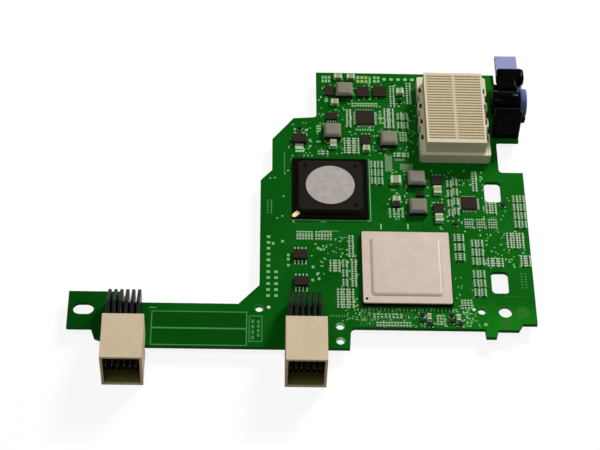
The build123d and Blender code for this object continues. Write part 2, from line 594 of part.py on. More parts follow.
def memory_chips():
    return [slab(u, v, 0, MEMORY_WIDTH, MEMORY_LENGTH, MEMORY_H) for u, v in MEMORY_CHIPS]


def memory_leads():
    half = MEMORY_LENGTH / 2 + MEMORY_LEAD_LENGTH / 2
    first = -MEMORY_LEAD_PITCH * (MEMORY_LEAD_COUNT - 1) / 2
    return [slab(u + first + MEMORY_LEAD_PITCH * i, v + sign * half, 0, MEMORY_LEAD_W, MEMORY_LEAD_LENGTH,
                 MEMORY_LEAD_T)
            for u, v in MEMORY_CHIPS for i in range(MEMORY_LEAD_COUNT) for sign in (-1, 1)]


def transistors():
    return [slab(u, v, 0, TRANSISTOR_WIDTH, TRANSISTOR_LENGTH, TRANSISTOR_H) for u, v in TRANSISTORS]


def transistor_tabs():
    half = TRANSISTOR_LENGTH / 2 + TRANSISTOR_TAB_L / 2
    return [slab(u, v - half, 0, TRANSISTOR_TAB_W, TRANSISTOR_TAB_L, TRANSISTOR_TAB_T) for u, v in TRANSISTORS]


def transistor_leads():
    half = TRANSISTOR_LENGTH / 2 + TRANSISTOR_LEAD_L / 2
    return [slab(u + sign * TRANSISTOR_LEAD_PITCH / 2, v + half, 0, TRANSISTOR_LEAD_W, TRANSISTOR_LEAD_L,
                 TRANSISTOR_TAB_T)
            for u, v in TRANSISTORS for sign in (-1, 1)]


def listed_slabs(places, height):
    return [slab(u, v, 0, width, length, height) for u, v, width, length in places]


def black_parts():
    return [slab(u, v, 0, BLACK_WIDTH, BLACK_LENGTH, BLACK_H) for u, v in BLACK_PARTS]


# Places of the small parts of each field, counted from start_u
def field_places(fields, start_u):
    for u, v, reach_across, reach_along, across, along, flag in fields:
        columns = round(reach_across / across) + 1
        rows = round(reach_along / along) + 1
        for i in range(columns):
            for j in range(rows):
                yield start_u + u + across * i, v + along * j, flag


def chip_fields(fields, start_u=0.0):
    chips = []
    for u, v, lying in field_places(fields, start_u):
        size = (CHIP_LONG, CHIP_SHORT) if lying else (CHIP_SHORT, CHIP_LONG)
        chips.append(slab(u, v, 0, *size, CHIP_H))
    return chips


def array_fields(fields, start_u=0.0):
    arrays = []
    for u, v, standing in field_places(fields, start_u):
        size = (ARRAY_SHORT, ARRAY_LONG) if standing else (ARRAY_LONG, ARRAY_SHORT)
        arrays.append(slab(u, v, 0, *size, ARRAY_H))
    return arrays


def resistor_arrays():
    return (array_fields(MIDDLE_ARRAYS) + array_fields((EDGE_ARRAY,)) + array_fields(LID_RIGHT_ARRAYS, LID_RIGHT)
            + array_fields(LID_LEFT_ARRAYS, LID_LEFT) + array_fields(CAP_ARRAYS, CAP_RIGHT))


def upper_chips():
    return chip_fields(UPPER_FIELDS) + chip_fields((CONNECTOR_COLUMN,))


def lower_chips():
    return chip_fields(LOWER_FIELDS) + chip_fields(LID_FIELDS, LID_LEFT)


os.makedirs("parts", exist_ok=True)
save("board", make_board())
for side, u in (("left", HEADER_LEFT_U), ("right", HEADER_RIGHT_U)):
    save("header_" + side + "_shroud", header_shroud(u))
    save("header_" + side + "_wafers", header_wafers(u))
    save("header_" + side + "_blades", header_blades(u))
    save("header_" + side + "_tails", header_tails(u))
save("mezzanine_base", mezz_base())
save("mezzanine_block", mezz_block())
save("lid_chip_balls", ball_rows(LID_CHIP, LID_CHIP_SIDE))
save("lid_chip_substrate", lid_substrate())
save("lid_chip_lid", metal_lid())
save("cap_chip_balls", ball_rows(CAP_CHIP, CAP_CHIP_SIDE))
save("cap_chip_substrate", cap_substrate())
save("cap_chip_cap", moulded_cap())
save("cap_chip_slug", heat_slug())
save("cap_chip_mark", corner_mark())
save("lever_carrier", carrier())
save("lever", lever())
save("inductors", inductors())
save("control_chip", quad_chip(CONTROL_CHIP, CONTROL_SIDE))
save("control_leads", quad_leads(CONTROL_CHIP, CONTROL_SIDE))
save("clock_chip", quad_chip(CLOCK_CHIP, CLOCK_SIDE))
save("clock_leads", quad_leads(CLOCK_CHIP, CLOCK_SIDE))
save("memory_chips", memory_chips())
save("memory_leads", memory_leads())
save("transistors", transistors())
save("transistor_tabs", transistor_tabs())
save("transistor_leads", transistor_leads())
save("power_chips", listed_slabs(POWER_CHIPS, POWER_CHIP_H))
save("tan_capacitors", listed_slabs(TAN_CAPS, TAN_CAP_H))
save("black_parts", black_parts())
save("resistor_arrays", resistor_arrays())
save("chips_right", chip_fields(RIGHT_FIELDS))
save("chips_upper", upper_chips())
save("chips_lower", lower_chips())
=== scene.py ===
import math
import random
import bmesh
import bpy
from mathutils import Matrix, Vector

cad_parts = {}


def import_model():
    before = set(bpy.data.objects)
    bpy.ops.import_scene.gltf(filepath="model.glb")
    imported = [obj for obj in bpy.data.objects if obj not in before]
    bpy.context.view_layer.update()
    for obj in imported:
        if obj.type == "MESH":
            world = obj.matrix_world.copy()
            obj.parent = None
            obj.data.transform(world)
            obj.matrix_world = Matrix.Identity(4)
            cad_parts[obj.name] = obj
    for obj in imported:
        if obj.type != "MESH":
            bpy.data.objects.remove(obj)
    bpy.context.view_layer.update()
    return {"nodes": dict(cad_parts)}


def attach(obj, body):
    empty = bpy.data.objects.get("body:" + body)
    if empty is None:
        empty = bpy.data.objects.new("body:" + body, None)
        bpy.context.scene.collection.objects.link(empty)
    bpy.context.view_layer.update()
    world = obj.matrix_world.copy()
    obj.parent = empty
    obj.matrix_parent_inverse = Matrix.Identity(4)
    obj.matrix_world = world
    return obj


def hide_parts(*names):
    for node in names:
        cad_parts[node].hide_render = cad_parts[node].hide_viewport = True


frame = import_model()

# Places on the board are (u, v) in millimetres, as in the part's source. The origin is the mounting hole.
DATUM_U = 149.0
DATUM_V = 15.8
MM_PER_M = 1000
MICRONS_PER_MM = 1000
MICRONS_PER_M = 1e6
SEED = 7

# Heights over the board's face where flat work starts and ends, and the thickness of a skin on other faces
PRINT_LOW = 0.002
STAIN_HIGH = 0.012
FIELD_HIGH = 0.015
LINE_HIGH = 0.02
PAD_HIGH = 0.03
SKIN = 0.01

# The board's lacquer as dark and light sRGB: plain, lighter towards the right, and darker at the left end
BOARD_DARK = (5, 84, 12)
BOARD_LIGHT = (12, 94, 18)
BOARD_EDGE = (30, 104, 36)
RIGHTWARD_DARK = (12, 112, 14)
RIGHTWARD_LIGHT = (20, 124, 22)
LEFT_END_DARK = (4, 66, 8)
LEFT_END_LIGHT = (9, 74, 13)
RIGHTWARD_U = (95, 150)
RIGHTWARD_V = (21, 13)
RIGHTWARD_LEAST = 0.3
LEFT_END_U = (32, 6)
LACQUER_ROUGH = 0.5
LACQUER_SPECULAR = 0.01

# Fine variation of colour and relief. Scales are per metre, depths in metres.
CLOUD_SCALE = 45.0
CLOUD_SPREAD = 0.15
WEAVE_SCALE = 1400.0
WEAVE_DETAIL = 2.0
WEAVE_STRENGTH = 0.08
WEAVE_DEPTH = 0.00005
GRIT_SPREAD = 0.2
GRIT_DEPTH = 0.0001

# Joining and rounding of edges. The first three are in metres.
WELD = 1e-6
FINE_WELD = 1e-8
SPECK = 1e-7
FLAT_DEG = 1
SHARP_DEG = 35
ROUND_PROFILE = 0.5
SHROUD_ROUND = 0.15
WAFER_ROUND = 0.25
MEZZANINE_BASE_ROUND = 0.15
MEZZANINE_BLOCK_ROUND = 0.06
LID_ROUND = 0.15
CAP_ROUND = 0.3
LEVER_ROUND = 0.3
INDUCTOR_ROUND = 0.3
CHIP_ROUND = 0.08

# Header sockets: how far inside the outer faces a face counts as inner, and takes painted shade
SOCKET_MARGIN = 0.6
SOCKET_MOUTH = 0.3

# The upward part of a face's normal: least for a socket's floor, most for an upright side
FLOOR_NORMAL = 0.7
UPRIGHT_NORMAL = 0.3

# Mezzanine connector: pockets of the base by their inset from its sides, whose inner faces take painted
# shade, slots and contacts of the block
PORT_INSETS = ((0.5, 0.65), (0.75, 1.6))
PORT_LOW = 1.0
PORT_BELOW_TOP = 0.3
SLOT_ROWS = 24
SLOT_COLUMNS = 2
SLOT_FRONT = 1.8
SLOT_MARGIN = 0.8
COLUMN_STEP = 10.5
COLUMN_LENGTH = 9.4
CONTACTS = 12
CONTACT_START = 0.08
CONTACT_PITCH = 0.77
CONTACT_WIDTH = 0.66
CONTACT_V = (0.03, 0.52)
CONTACT_DEPTH = (1.58, 0.2)
TINT_START = 0.57
TINT_GAP = 0.02
TINT_DEPTH = 0.1
RIB_START = 10.2
RIB_U = (0.02, 1.08)

# Lidded chip: the raised field's edge, and the pin-one dot as (u, v, radius)
LID_STEP = 0.6
LID_INSET = 2.9
LID_BEVEL = 1.15
LID_CORNER = 1.4
LID_CURVE = 1.75
LID_ROWS = 8
LID_CORNER_STEPS = 5
LID_DOT = (101.6, 19.0, 0.5)

# Capped chip: dimples near the cap's corners
DIMPLE_REACH = 9.0
DIMPLE_R = 0.75
DIMPLE_SIDES = 20

# Lever carrier: blocks as low corner, high corner, rounding and back chamfer
CARRIER_BLOCKS = (
    ((149.4, 93.3, 0.0), (159.2, 97.9, 13.5), 0.6, 1.5),
    ((151.3, 93.3, 0.0), (159.2, 117.8, 2.6), 0.4, 0.0),
    ((152.8, 110.7, 3.5), (159.2, 116.6, 8.2), 0.9, 0.0),
    ((152.0, 115.6, 3.5), (162.2, 121.2, 8.2), 1.2, 0.0),
    ((154.0, 108.0, 2.0), (158.0, 117.8, 7.2), 0.3, 0.0),
    ((158.2, 95.5, 5.8), (161.0, 97.9, 9.0), 0.8, 0.0),
)
CARRIER_ROUND_STEPS = 4
# The barrel is turned round the pivot (v, z): places along u and radii, from the closed end to the bore
PIVOT = (105.5, 6.0)
BARREL = (
    (149.4, 0.0), (149.4, 4.0), (149.55, 4.35), (149.9, 4.5), (158.7, 4.5),
    (159.05, 4.35), (159.2, 4.0), (159.2, 1.68), (153.7, 1.68), (153.7, 0.0),
)
BARREL_STEPS = 40
BARREL_END_NORMAL = 0.95
# The lever's arm lies in front of this v and its tab behind it; the arm takes the blue with painted shade
ARM_BACK = 115.0

# Small chips: share of the length that is tinned, and solder round the ends
CHIP_END_SHARE = 0.28
CAPACITOR_END_SHARE = 0.2
BODY_SHY = 0.02
SOLDER_OUT = 0.2
SOLDER_SIDE = 0.05
SOLDER_HIGH = 0.14
GROUND_OUT_U = 0.22
GROUND_OUT_V = 0.17
ARRAY_ENDS = 4
ARRAY_SHY = 0.25
ARRAY_END_HALF = 0.3
ARRAY_FOOT_OUT = 0.25
ARRAY_FOOT_IN = 0.42
ARRAY_FOOT_HIGH = 0.12

# Leads and solder balls. A lead on four sides has a knee and a foot, as (near, far, height) from the edge.
MEMORY_CENTRES = ((79.0, 38.3), (79.3, 26.8))
MEMORY_RISE = 0.35
LEAD_FOOT_HIGH = 0.16
LEAD_LAP = 0.12
CONTROL_LEADS = 9
CLOCK_LEADS = 7
QUAD_LEAD = ((-0.05, 0.35, 0.3), (0.3, 0.85, 0.12))
QUAD_LEAD_HALF = 0.16
QUAD_MARGIN = 0.3
SMALL_LEAD_HALF = (0.22, 0.3)
SMALL_LEAD_HIGH = 0.2
SMALL_LEAD_OUT = 0.2
SMALL_LEAD_IN = 0.2
BALL_SPREAD = 0.6
BALL_TIP = 0.02
BALL_ROWS = 5
BALL_SIDES = 10

# Flat work on the board, in the order in which add_rect, add_row, add_grid, add_frame and add_disc take it
GRID_FILL = 0.72
STRIP_FIELDS = ((44.6, 3.8, 31.6, 6.2), (44.6, 10.7, 31.6, 6.2))
STRIP_FRAME = (28.6, 0.5, 60.7, 14.1)
STRIP_FRAME_LINE = 0.35
STRIP_BARS = ((44.6, 7.3, 31.8, 0.6), (28.8, 15.6, 2.4, 0.5))
STRIP_BOX = (61.6, 2.2, 65.9, 12.6)
STRIP_BOX_LINE = 0.3
STRIP_MARKS = (((62.8, 3.8), (0, 2.2), 4, (0.9, 1.4)), ((64.7, 4.8), (0, 1.8), 4, (0.9, 1.2)))

CAP_FAINT_LINES = ((75.6, 68.2, 0.2, 28.0), (89.8, 82.3, 28.4, 0.2))
CAP_WHITE_LINES = ((104.0, 68.2, 0.22, 28.4), (89.8, 54.1, 28.6, 0.22))
CAP_CORNER_DOT = (76.6, 53.5, 0.45)
CAP_DASH = (87.2, 53.5, 2.0, 0.7)
LID_BARS = ((107.5, 51.7, 0.5, 2.4), (117.0, 51.9, 0.5, 2.4))
DOT_R = 0.32
DOTS = (
    (73.1, 64.7), (72.7, 55.8), (70.9, 54.9), (68.3, 73.0),
    (70.0, 73.2), (73.6, 75.2), (74.7, 76.6), (76.3, 83.6),
)
CAP_ROWS = (
    ((73.4, 75.0), (0, 1.0), 11, (0.5, 0.6)),
    ((67.5, 57.2), (0, 1.1), 6, (0.4, 0.8)),
    ((68.8, 57.2), (0, 1.1), 6, (0.5, 0.8)),
)

TEST_ROWS = (((67.9, 21.2), (0, 2.53), 11, (1.2, 1.1)), ((70.6, 21.2), (0, 2.53), 5, (1.2, 1.1)))
TEST_PAD = (0.9, 1.1)
TEST_PADS = (
    (69.5, 43.6), (72.8, 44.6), (74.8, 36.8), (74.8, 34.2), (74.8, 38.6), (85.2, 41.8),
    (86.2, 41.2), (83.4, 33.6), (84.9, 30.6), (83.2, 28.0), (85.4, 28.6),
)

DULL_PADS = ((111.1, 80.6, 2.6, 7.4), (117.5, 79.2, 4.6, 2.8), (115.2, 82.4, 3.8, 0.9))
GOLD_GRID = (102.4, 121.3, 3, 2, 1.5, 2.0)
BACK_BAR = (105.3, 121.0, 0.7, 3.4)
BACK_GRIDS = ((107.8, 121.4, 2, 2, 1.4, 1.8), (88.9, 121.2, 3, 2, 1.2, 1.9))
BACK_DISC = (110.8, 121.6, 0.75)
BACK_DISC_STEP = 2.6
BACK_DISCS = 5
TRANSISTOR_PAD = (79.0, 86.2, 3.2, 1.6)
INDUCTOR_PADS = tuple((85.9, v, 1.7, 0.7) for v in (90.5, 95.5, 96.8, 98.0))
SQUARE_PAD = (0.9, 0.9)
SQUARE_PADS = ((77.2, 96.2), (81.3, 95.9), (81.3, 93.5), (77.0, 93.4), (82.7, 91.2), (82.7, 88.3))
POWER_ROWS = (
    ((80.5, 83.8), (1.45, 0), 3, (0.6, 0.6)),
    ((88.9, 110.2), (0, 1.1), 4, (1.2, 0.7)),
    ((108.7, 99.8), (0, 0.95), 7, (1.0, 0.5)),
    ((100.2, 96.5), (0.95, 0), 7, (0.5, 0.9)),
)
FRONT_LEADS = ((89.45, 100.2), (0.9, 0), 4, (0.45, 0.9))
FRONT_LEAD_HIGH = 0.25
TRIPLE_LEADS = ((128.2, 75.1), (128.2, 62.4), (103.1, 94.0))
TRIPLE_LEAD = (0.5, 1.3)
TRIPLE_LEAD_STEP = 1.3
TRIPLE_LEAD_HIGH = 0.2

# Holes: rims and walls as (inner radius, outer radius), and the marks beside them. The walls' pale and
# green colours are partly the walls' own and partly painted light, brighter than the walls are so that they
# look lit.
PALE_HOLES = ((92.4, 8.9), (92.4, 2.9))
GREEN_HOLES = ((140.9, 15.9), (64.9, 15.8))
HOLE_RIM = (1.47, 1.75)
HOLE_WALL = (1.40, 1.44)
MOUNT_WALL = (2.35, 2.39)
WALL_LOW = -1.55
WALL_HIGH = -0.02
HOLE_ROW = ((89.2, 13.1), (0.95, 0), 7, (0.45, 0.9))
BRIGHT_DISCS = ((138.2, 16.5, 0.62), (68.1, 16.3, 0.62))
HOLE_DISC = (141.9, 10.4, 0.65)
HOLE_DISC_SIDES = 20
EDGE_DOT_US = (155.6, 157.0)
EDGE_DOT_V = 26.0
EDGE_DOT_STEP = 1.2
EDGE_DOT_R = 0.3
EDGE_DOT_ROWS = 6
STAMPS = ((154.9, 15.5, 2.5), (149.1, 10.5, 2.0))
ROUND_SIDES = 32

# Fields of vias and loose pads as (u, v, far u, far v, count), and routed lines with their lean at the end
VIA_R = 0.27
VIA_SIDES = 8
PALE_VIAS = (
    (93, 11, 103, 16, 26), (100, 8.8, 141, 16, 60), (132.5, 17, 139, 34, 16), (84, 30, 93, 44, 16),
    (110, 55, 118, 78, 30), (131, 65, 145, 78, 24), (143, 36, 158, 50, 26), (104, 84, 122, 97, 40),
    (75, 83, 100, 100, 36), (86, 98, 122, 119, 64), (143, 55, 156, 66, 24),
)
GREEN_VIAS = ((66, 22, 98, 52, 60), (104, 50, 158, 80, 90), (70, 84, 121, 122, 90))
LOOSE_PADS = (
    (98, 9.6, 133, 16.4, 60), (93, 16, 99, 47, 34), (82, 34, 98, 46, 24), (110.5, 55, 118, 78, 24),
    (124, 50, 146, 78, 62), (142, 34, 158, 52, 30), (86, 84, 121, 119, 112), (70, 84, 86, 100, 10),
    (133, 9.4, 137, 17.5, 26),
)
LOOSE_PAD_SIZES = ((0.5, 0.9), (0.9, 0.5), (0.6, 0.6))
LID_FRONT_ROW = ((98.6, 15.9), (1.3, 0), 26, (0.35, 1.1))
LID_BACK_DOTS = 16
LID_BACK_DOT = (86.2, 49.4, 0.22)
LID_BACK_DOT_STEP = 0.75
LID_BACK_STEP_AT = 9
LID_BACK_STEP_V = 46.6
FRONT_LINES = (99, 9.2, 117, 16.2, 18, 1.0)
CAP_LINES = (76, 50.0, 88, 53.2, 10, 1.0)
MIDDLE_LINES = (88, 38.0, 93, 50.0, 5, 3.0)
LINE_WIDTH = 0.16
LINE_BEND = (0.35, 0.6)
CORNER_LINE = ((143.6, 18.4), (147.8, 22.2), (158.2, 22.2))
CORNER_LINE_WIDTH = 0.2
# A ray down from this height, as long as this in metres, finds out whether a place is on the board
PROBE_HIGH = 1.0
PROBE_REACH = 0.002

# Floor, light and camera. The floor's reach and the camera's near end are in metres.
FLOOR_Z = -4.6
FLOOR_REACH = 3.0
FLOOR_GREY = 0.3
FLOOR_ROUGH = 0.9
FLOOR_SHADE = 0.15
FLOOR_GLOW = 0.88
SKY_LIGHT = 0.1
SKY_SEEN = 1.0
MIDDLE = (85, 55, 0)
# Lamps are (name, place from the middle, size, power), in metres and watts
LAMPS = (
    ("key", (0.5, 0.7, 0.66), 0.25, 10.4),
    ("top", (-0.15, -0.15, 1.0), 0.4, 2.5),
    ("fill", (-0.1, -0.95, 0.35), 0.5, 0.5),
)
CAMERA_PLACE = (62.21, -348.79, 518.37)
CAMERA_RIGHT = (0.99956, -0.00360, 0.02944)
CAMERA_UP = (-0.01515, 0.79134, 0.61118)
CAMERA_BACK = (-0.02550, -0.61136, 0.79094)
CAMERA_SENSOR = 36.0
CAMERA_LENS = 111.665
CAMERA_NEAR = 0.01

rng = random.Random(SEED)


def point(u, v, z):
    return ((u - DATUM_U) / MM_PER_M, (v - DATUM_V) / MM_PER_M, z / MM_PER_M)


def board_place(spot):
    return (spot[0] * MM_PER_M + DATUM_U, spot[1] * MM_PER_M + DATUM_V, spot[2] * MM_PER_M)


# Material nodes
def linear(srgb):
    channels = []
    for value in srgb:
        c = value / 255
        channels.append(c / 12.92 if c <= 0.04045 else ((c + 0.055) / 1.055) ** 2.4)
    return (channels[0], channels[1], channels[2], 1.0)


def shader(name):
    material = bpy.data.materials.new(name)
    material.use_nodes = True
    nodes = material.node_tree.nodes
    return material, nodes, material.node_tree.links, nodes["Principled BSDF"]


def noise(nodes, links, scale, detail=3.0):
    origin = nodes.new("ShaderNodeTexCoord")
    texture = nodes.new("ShaderNodeTexNoise")
    texture.inputs["Scale"].default_value = scale
    texture.inputs["Detail"].default_value = detail
    links.new(origin.outputs["Object"], texture.inputs["Vector"])
    return texture.outputs["Fac"]


def two_tone(nodes, links, source, dark, light, spread):
    node = nodes.new("ShaderNodeValToRGB")
    first, last = node.color_ramp.elements
    first.position = 0.5 - spread
    first.color = linear(dark)
    last.position = 0.5 + spread
    last.color = linear(light)
    links.new(source, node.inputs["Fac"])
    return node.outputs["Color"]


def bump(nodes, links, height, strength, depth):
    node = nodes.new("ShaderNodeBump")
    node.inputs["Strength"].default_value = strength
    node.inputs["Distance"].default_value = depth
    links.new(height, node.inputs["Height"])
    return node.outputs["Normal"]


def blend(nodes, links, share, first, second):
    node = nodes.new("ShaderNodeMix")
    node.data_type = "RGBA"
    links.new(share, node.inputs["Factor"])
    links.new(first, node.inputs["A"])
    links.new(second, node.inputs["B"])
    return node.outputs["Result"]


# Rises from low to 1 between two places on the board
def slope(nodes, links, source, reach, datum, low=0.0):
    node = nodes.new("ShaderNodeMapRange")
    node.inputs["From Min"].default_value = (reach[0] - datum) / MM_PER_M
    node.inputs["From Max"].default_value = (reach[1] - datum) / MM_PER_M
    node.inputs["To Min"].default_value = low
    links.new(source, node.inputs["Value"])
    return node.outputs["Result"]


# Two colours mottled by a fine noise, which also gives the relief
def surface(name, dark, light, rough, metal=0.0, scale=900.0, grain=0.15, specular=0.5):
    material, nodes, links, bsdf = shader(name)
    grit = noise(nodes, links, scale)
    links.new(two_tone(nodes, links, grit, dark, light, GRIT_SPREAD), bsdf.inputs["Base Color"])
    links.new(bump(nodes, links, grit, grain, GRIT_DEPTH), bsdf.inputs["Normal"])
    bsdf.inputs["Roughness"].default_value = rough
    bsdf.inputs["Metallic"].default_value = metal
    bsdf.inputs["Specular IOR Level"].default_value = specular
    return material


# The lacquer turns lighter towards the right, and most at the front right corner
def rightward_share(nodes, links, along, across):
    product = nodes.new("ShaderNodeMath")
    product.operation = "MULTIPLY"
    links.new(slope(nodes, links, along, RIGHTWARD_U, DATUM_U), product.inputs[0])
    links.new(slope(nodes, links, across, RIGHTWARD_V, DATUM_V, RIGHTWARD_LEAST), product.inputs[1])
    return product.outputs["Value"]


def lacquer_colour(nodes, links):
    cloud = noise(nodes, links, CLOUD_SCALE)
    plain = two_tone(nodes, links, cloud, BOARD_DARK, BOARD_LIGHT, CLOUD_SPREAD)
    rightward_tone = two_tone(nodes, links, cloud, RIGHTWARD_DARK, RIGHTWARD_LIGHT, CLOUD_SPREAD)
    left_end_tone = two_tone(nodes, links, cloud, LEFT_END_DARK, LEFT_END_LIGHT, CLOUD_SPREAD)
    origin = nodes.new("ShaderNodeTexCoord")
    spot = nodes.new("ShaderNodeSeparateXYZ")
    links.new(origin.outputs["Object"], spot.inputs["Vector"])
    along = spot.outputs["X"]
    across = spot.outputs["Y"]
    lightened = blend(nodes, links, rightward_share(nodes, links, along, across), plain, rightward_tone)
    # Darker towards the left end
    return blend(nodes, links, slope(nodes, links, along, LEFT_END_U, DATUM_U), lightened, left_end_tone)


# One on the board's faces and nought on its cut edges
def facing(nodes, links):
    geometry = nodes.new("ShaderNodeNewGeometry")
    split = nodes.new("ShaderNodeSeparateXYZ")
    links.new(geometry.outputs["Normal"], split.inputs["Vector"])
    size = nodes.new("ShaderNodeMath")
    size.operation = "ABSOLUTE"
    links.new(split.outputs["Z"], size.inputs[0])
    return size.outputs["Value"]


def board_material():
    material, nodes, links, bsdf = shader("board_lacquer")
    mix = nodes.new("ShaderNodeMix")
    mix.data_type = "RGBA"
    mix.inputs["A"].default_value = linear(BOARD_EDGE)
    links.new(facing(nodes, links), mix.inputs["Factor"])
    links.new(lacquer_colour(nodes, links), mix.inputs["B"])
    links.new(mix.outputs["Result"], bsdf.inputs["Base Color"])
    weave = noise(nodes, links, WEAVE_SCALE, WEAVE_DETAIL)
    links.new(bump(nodes, links, weave, WEAVE_STRENGTH, WEAVE_DEPTH), bsdf.inputs["Normal"])
    bsdf.inputs["Roughness"].default_value = LACQUER_ROUGH
    bsdf.inputs["Specular IOR Level"].default_value = LACQUER_SPECULAR
    return material


# The materials: name, dark and light sRGB and roughness, then what departs from the defaults of surface
BOARD = board_material()
TRACE = surface("trace_green", (22, 106, 28), (34, 118, 40), 0.5, specular=0.03)
SHADE = surface("strip_green", (4, 72, 6), (8, 80, 10), 0.5, specular=0.015)
SILK = surface("white_print", (146, 190, 142), (168, 206, 162), 0.7, specular=0.08)
FAINT = surface("faint_print", (70, 138, 72), (86, 150, 86), 0.7, specular=0.08)
TIN = surface("tin", (150, 186, 144), (178, 206, 168), 0.5, 0.15, 1500.0, specular=0.15)
BRIGHT = surface("bright_pad", (190, 236, 194), (206, 244, 208), 0.6, specular=0.1)
PAD = surface("bare_pad", (112, 172, 108), (136, 190, 130), 0.6, 0.1, specular=0.1)
DULL_PAD = surface("dull_pad", (92, 128, 88), (108, 142, 102), 0.6, specular=0.05)
STAMP = surface("stamp_green", (28, 110, 24), (46, 120, 36), 0.6, specular=0.03)
GOLD_PAD = surface("gold_pad", (128, 160, 74), (150, 176, 92), 0.5, 0.1, specular=0.2)
GOLD = surface("gold", (246, 222, 156), (255, 236, 182), 0.5, 0.1, specular=0.2)
BEIGE = surface("beige_plastic", (213, 193, 160), (221, 201, 168), 0.7, 0.0, 300.0, 0.08, 0.15)
# Painted shade: the beige shroud's inner faces and floor, darkened because the inside of the socket lies in
# shade
SOCKET_SHADE = surface("socket_inside_painted_shade", (34, 36, 18), (48, 46, 22), 0.7, specular=0.05)
SOCKET_FLOOR_SHADE = surface("socket_floor_painted_shade", (104, 102, 50), (124, 120, 62), 0.7, specular=0.05)
# Painted shade: the header blades' gold, darkened to look as it does deep in the shaded socket
SHADED_BLADE = surface("gold_painted_shade", (112, 102, 58), (132, 120, 72), 0.6, 0.2, specular=0.1)
CREAM = surface("cream_plastic", (210, 202, 172), (218, 210, 180), 0.65, 0.0, 400.0, 0.08, 0.15)
CREAM_DEEP = surface("cream_contact", (178, 150, 112), (192, 164, 124), 0.6, specular=0.1)
CREAM_RIB = surface("cream_rib", (200, 186, 154), (208, 194, 162), 0.65, specular=0.1)
# Painted shade in the pockets of the mezzanine base
PORT_SHADE = surface("cream_port_painted_shade", (92, 78, 58), (106, 90, 68), 0.7, specular=0.05)
BLACK = surface("black_plastic", (1, 1, 2), (3, 3, 4), 0.14, 0.0, 700.0, 0.03, 0.014)
WAFER = surface("wafer_black", (5, 5, 6), (10, 10, 12), 0.3, specular=0.09)
MOULD = surface("chip_mould", (44, 36, 30), (52, 43, 36), 0.6, scale=2500.0, specular=0.02)
CAP = surface("cap_mould", (29, 26, 22), (36, 32, 28), 0.6, scale=2500.0, specular=0.02)
MOULD_DARK = surface("chip_mould_dark", (18, 16, 14), (25, 22, 19), 0.55, scale=2500.0, specular=0.1)
SUBSTRATE = surface("chip_substrate", (7, 8, 6), (12, 13, 10), 0.5, specular=0.01)
LID = surface("lid_metal", (204, 186, 172), (212, 194, 180), 0.44, 0.07, 220.0, 0.03, 0.08)
SLUG = surface("slug_metal", (158, 151, 145), (174, 166, 160), 0.6, 0.1, 500.0, 0.08, 0.2)
BLUE = surface("blue_plastic", (138, 140, 188), (148, 150, 196), 0.5, specular=0.1)
# Painted shade: a darker copy of the lever's blue, for its arm
BLUE_ARM_SHADE = surface("blue_arm_painted_shade", (84, 92, 140), (94, 102, 150), 0.5, specular=0.1)
FERRITE = surface("ferrite", (122, 120, 104), (138, 135, 118), 0.75, 0.0, 1800.0, 0.4, 0.08)
# Painted shade: the inductors' upright sides, darker than the top as if they face away from the light
FERRITE_SIDE_SHADE = surface("ferrite_side_painted_shade", (24, 26, 18), (34, 35, 25), 0.7, specular=0.1)
TAN = surface("tan_ceramic", (142, 146, 112), (160, 160, 124), 0.6, specular=0.1)
CERAMIC = surface("grey_ceramic", (84, 104, 74), (102, 120, 88), 0.6, specular=0.1)
RESISTOR = surface("resistor_black", (24, 34, 22), (34, 44, 30), 0.5, specular=0.1)
ARRAY = surface("array_body", (44, 88, 44), (58, 102, 56), 0.6, specular=0.05)
# Painted light: the green laminate of the hole walls, made brighter than it is so that the walls look lit
LIT_LAMINATE = surface("hole_wall_painted_light", (84, 170, 86), (98, 182, 98), 0.7, specular=0.05)
GROUND = surface("pad_ground", (40, 140, 44), (54, 152, 58), 0.6, specular=0.05)


# A batch gathers closed forms of several materials for one piece
def new_batch(*materials):
    return {"materials": materials, "verts": [], "faces": [], "slots": []}


def add_faces(batch, faces, material):
    batch["faces"] += faces
    batch["slots"] += [batch["materials"].index(material)] * len(faces)


def add_loop(batch, outline, z):
    first = len(batch["verts"])
    batch["verts"] += [point(u, v, z) for u, v in outline]
    return list(range(first, first + len(outline)))


def band(foot, top):
    count = len(foot)
    return [[foot[i], foot[(i + 1) % count], top[(i + 1) % count], top[i]] for i in range(count)]


def add_prism(batch, outline, low, high, material):
    foot = add_loop(batch, outline, low)
    top = add_loop(batch, outline, high)
    add_faces(batch, [top, foot[::-1]] + band(foot, top), material)


def add_box(batch, low, high, material):
    outline = [(low[0], low[1]), (high[0], low[1]), (high[0], high[1]), (low[0], high[1])]
    add_prism(batch, outline, low[2], high[2], material)


def add_rect(batch, u, v, width, length, material, height=PAD_HIGH):
    low = (u - width / 2, v - length / 2, PRINT_LOW)
    high = (u + width / 2, v + length / 2, height)
    add_box(batch, low, high, material)


def add_row(batch, start, step, count, size, material, height=PAD_HIGH):
    for i in range(count):
        add_rect(batch, start[0] + step[0] * i, start[1] + step[1] * i, *size, material, height)


def add_grid(batch, u, v, columns, rows, pitch_u, pitch_v, material):
    for i in range(columns):
        for j in range(rows):
            middle_u = u + pitch_u * (i - (columns - 1) / 2)
            middle_v = v + pitch_v * (j - (rows - 1) / 2)
            add_rect(batch, middle_u, middle_v, pitch_u * GRID_FILL, pitch_v * GRID_FILL, material)


def add_frame(batch, u0, v0, u1, v1, line, material):
    for v in (v0, v1):
        add_rect(batch, (u0 + u1) / 2, v, u1 - u0 + line, line, material)
    for u in (u0, u1):
        add_rect(batch, u, (v0 + v1) / 2, line, v1 - v0 - line, material)


def circle(u, v, radius, sides):
    turns = [2 * math.pi * i / sides for i in range(sides)]
    return [(u + radius * math.cos(t), v + radius * math.sin(t)) for t in turns]


